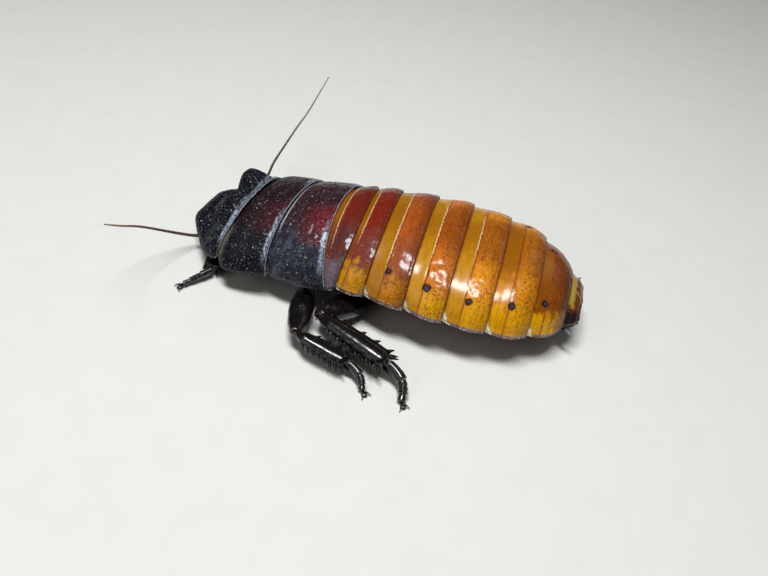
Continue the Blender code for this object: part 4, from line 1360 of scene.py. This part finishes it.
SCAPE_PROFILE = ((0.0, 0.36, 0.36), (0.25, 0.5, 0.5), (0.8, 0.52, 0.52), (1.0, 0.38, 0.38))
FEELER_THICKNESS = ((0.0, 0.36), (0.06, 0.31), (0.4, 0.24), (0.8, 0.16), (1.0, 0.10))
PALP_THICKNESS = ((0.0, 0.22), (0.3, 0.26), (0.8, 0.27), (1.0, 0.30))
LOWER_PALP_THICKNESS = ((0.0, 0.19), (1.0, 0.19))
# The short palp: part of the way down the face, place across, height off it
LOWER_PALP = ((1.1, 0.5, -0.7), (1.25, 1.1, -0.6), (1.2, 1.8, -0.3))
CERCUS_THICKNESS = ((0.0, 0.34), (0.4, 0.44), (0.75, 0.30), (1.0, 0.06))
LOBE_PROFILE = ((0.0, 0.7, 0.6), (0.6, 1.0, 0.85), (1.0, 0.7, 0.6))
LOBE_START, LOBE_END = (1.2, 69.0, 4.4), (4.3, 70.3, 4.8)


def joint_paint(name, base, tip, ring, ring_strength):
    """Jointed stalk: the along coordinate counts joints, the margin one runs to the tip."""
    paint = Paint(name, coat=0.3, coat_roughness=0.15)
    fine = paint.noise(0.15, 3.0)
    paint.colour(
        base,
        (paint.margin.step(0.25, 1.0), tip),
        (fine * 0.5, (22, 12, 12)),
        (paint.along.to_whole().step(0.16, 0.04) * ring_strength, ring),
    )
    paint.set("Roughness", 0.25 + fine * 0.2)
    paint.bump(fine, 0.02, 0.6)
    return paint.material


def jointed_tube(shape, points, thickness, count, joints, sides, waist):
    """Tube along a smooth route through points, read at a count of places, swelling at joints."""
    stations = [(float(i), *point) for i, point in enumerate(points)]
    route = follow(stations, np.linspace(0.0, len(points) - 1.0, count))
    radii = follow(thickness, np.linspace(0.0, 1.0, count))[:, 0]
    run = np.concatenate([[0.0], np.cumsum(np.linalg.norm(np.diff(route, axis=0), axis=1))])
    run /= run[-1]
    swells = ((0.0, waist), (0.12, 0.96), (0.4, 1.0), (0.75, 1.04), (0.93, 0.98))
    rows = [(joint + part, swell) for joint in range(joints) for part, swell in swells]
    counts, sizes = np.array([*rows, (joints, 0.35)]).T
    places = counts / joints
    line = np.stack([np.interp(places, run, route[:, axis]) for axis in range(3)], axis=-1)
    thick = np.interp(places, run, radii) * sizes
    thick[0] *= 0.8
    shape.tube(sweep(line, thick, thick, sides), counts, places[:, None])


def make_feelers():
    whip = joint_paint("feeler_shell", (44, 22, 26), (150, 106, 66), (158, 126, 108), 0.7)
    scape_finish = leg_paint("scape_shell")
    for side, points in (("left", FEELER_LEFT), ("right", FEELER_RIGHT)):
        first, second = np.array(points[0]), np.array(points[1])
        socket = on_face(0.40, SIGNS[side] * 1.8, 1.35)
        scape = Shape()
        rings, parts = limb_rings(socket, second, SCAPE_PROFILE, 1.0, 36, 24, (0.0, -0.25, 0.0))
        scape.tube(roughen(rings, 0.02, 0.5, 61), parts)
        scape.piece(f"feeler_base_{side}", scape_finish, "feeler_brown", f"scape_{side}")
        shape = Shape()
        root = second - unit(second - first) * 0.1
        jointed_tube(shape, [root, *points[2:]], FEELER_THICKNESS, 400, 96, 12, 0.8)
        shape.piece(f"feeler_{side}", whip, "feeler_brown", f"antenna_{side}")


def make_palps():
    """The long palps beside the mouth and the short ones under it."""
    finish = joint_paint("palp_shell", (44, 22, 20), (124, 84, 52), (168, 134, 98), 0.7)
    for side, sign in SIGNS.items():
        shape = Shape()
        route = np.array((on_face(1.0, 1.3, -0.4), *PALP_ROUTE)) * (sign, 1.0, 1.0)
        jointed_tube(shape, route, PALP_THICKNESS, 120, 5, 16, 0.62)
        lower = [on_face(part, sign * x, out) for part, x, out in LOWER_PALP]
        jointed_tube(shape, lower, LOWER_PALP_THICKNESS, 60, 3, 12, 0.62)
        shape.piece(f"palps_{side}", finish, "feeler_brown", f"palp_{side}")


def make_tail():
    """Tail feelers, each with the dark lobe beside it under the last back plate."""
    # The pale bluish-grey towards the tail feelers' tips is a painted glint.
    finish = joint_paint("tail_feeler_shell", (24, 16, 20), (110, 112, 122), (150, 150, 160), 0.4)
    for side, (start, end) in CERCI.items():
        mirror = (SIGNS[side], 1.0, 1.0)
        start, end = np.array(start), np.array(end)
        middle = (start + end) / 2 + np.array((0.15, 0.1, 0.1)) * mirror
        shape = Shape()
        route = [start - unit(end - start) * 0.5, middle, end]
        jointed_tube(shape, route, CERCUS_THICKNESS, 80, 8, 16, 0.86)
        lobe = (np.multiply(LOBE_START, mirror), np.multiply(LOBE_END, mirror))
        rings, parts = limb_rings(*lobe, LOBE_PROFILE, 1.0, 30, 28)
        shape.tube(roughen(rings, 0.05, 0.7, 71), 0.5 + 0.0 * parts)
        shape.piece(f"tail_feeler_{side}", finish, "feeler_brown", f"cercus_{side}")


# Stage, in metres

FLOOR_REACH = 0.34
# Soft rectangular lights: place, place that it shines at, width, height, power, colour
LIGHTS = {
    "key": ((0.055, -0.02, 0.32), (0.0, 0.0, 0.01), 0.15, 0.06, 1.25, (0.93, 0.97, 1.0)),
    "fill": ((0.30, -0.25, 0.25), (0.0, 0.0, 0.0), 0.30, 0.30, 0.26, (0.95, 0.98, 1.0)),
    "back": ((-0.30, 0.25, 0.30), (0.0, 0.0, 0.0), 0.30, 0.20, 0.10, (1.0, 0.96, 0.9)),
}
STUDIO_COLOUR = (0.88, 0.90, 0.92, 1.0)
STUDIO_LIGHT = 0.06
BACKDROP_LIGHT = 0.94  # the backdrop itself looks pale


def make_floor():
    """A pale plain floor, large enough to fill the view."""
    mesh = bpy.data.meshes.new("floor")
    corners = [(x * FLOOR_REACH, y * FLOOR_REACH, 0.0) for x, y in ((-1, -1), (1, -1), (1, 1), (-1, 1))]
    mesh.from_pydata(corners, [], [(0, 1, 2, 3)])
    paint = Paint("floor", roughness=0.7)
    paint.colour((222, 219, 212), (paint.noise(6.0, 4.0), (214, 211, 204)))
    mesh.materials.append(paint.material)
    add_object("floor", mesh)


def make_lights():
    for name, (place, target, width, height, power, tint) in LIGHTS.items():
        lamp = bpy.data.lights.new(name, "AREA")
        lamp.shape = "RECTANGLE"
        lamp.size = width
        lamp.size_y = height
        lamp.energy = power
        lamp.color = tint
        made = add_object(name, lamp)
        made.location = place
        made.rotation_euler = (Vector(target) - Vector(place)).to_track_quat("-Z", "Y").to_euler()


def make_studio():
    """The surroundings, pale where the camera sees them and dim in what they light."""
    world = bpy.data.worlds.new("studio")
    bpy.context.scene.world = world
    world.use_nodes = True
    nodes, links = world.node_tree.nodes, world.node_tree.links
    background = nodes["Background"]
    background.inputs["Color"].default_value = STUDIO_COLOUR
    path = nodes.new("ShaderNodeLightPath")
    power = nodes.new("ShaderNodeMapRange")
    power.inputs["To Min"].default_value = STUDIO_LIGHT
    power.inputs["To Max"].default_value = BACKDROP_LIGHT
    links.new(path.outputs["Is Camera Ray"], power.inputs["Value"])
    links.new(power.outputs["Result"], background.inputs["Strength"])
    bpy.context.scene.view_settings.view_transform = "Standard"


def make_camera():
    """The camera where the photo was taken from, found from the outline of the animal."""
    lens = bpy.data.cameras.new("camera")
    lens.lens = CAMERA_LENS
    lens.sensor_width = CAMERA_SENSOR
    lens.clip_start = 0.01
    made = add_object("camera", lens)
    turned = Matrix((CAMERA_RIGHT, CAMERA_UP, CAMERA_BACK)).transposed().to_4x4()
    made.matrix_world = Matrix.Translation(metres(CAMERA_PLACE)) @ turned
    bpy.context.scene.camera = made


make_camera()
make_back()
make_collar()
make_belly()
make_skin()
make_head()
make_feelers()
make_palps()
make_legs()
make_tail()
make_floor()
make_lights()
make_studio()
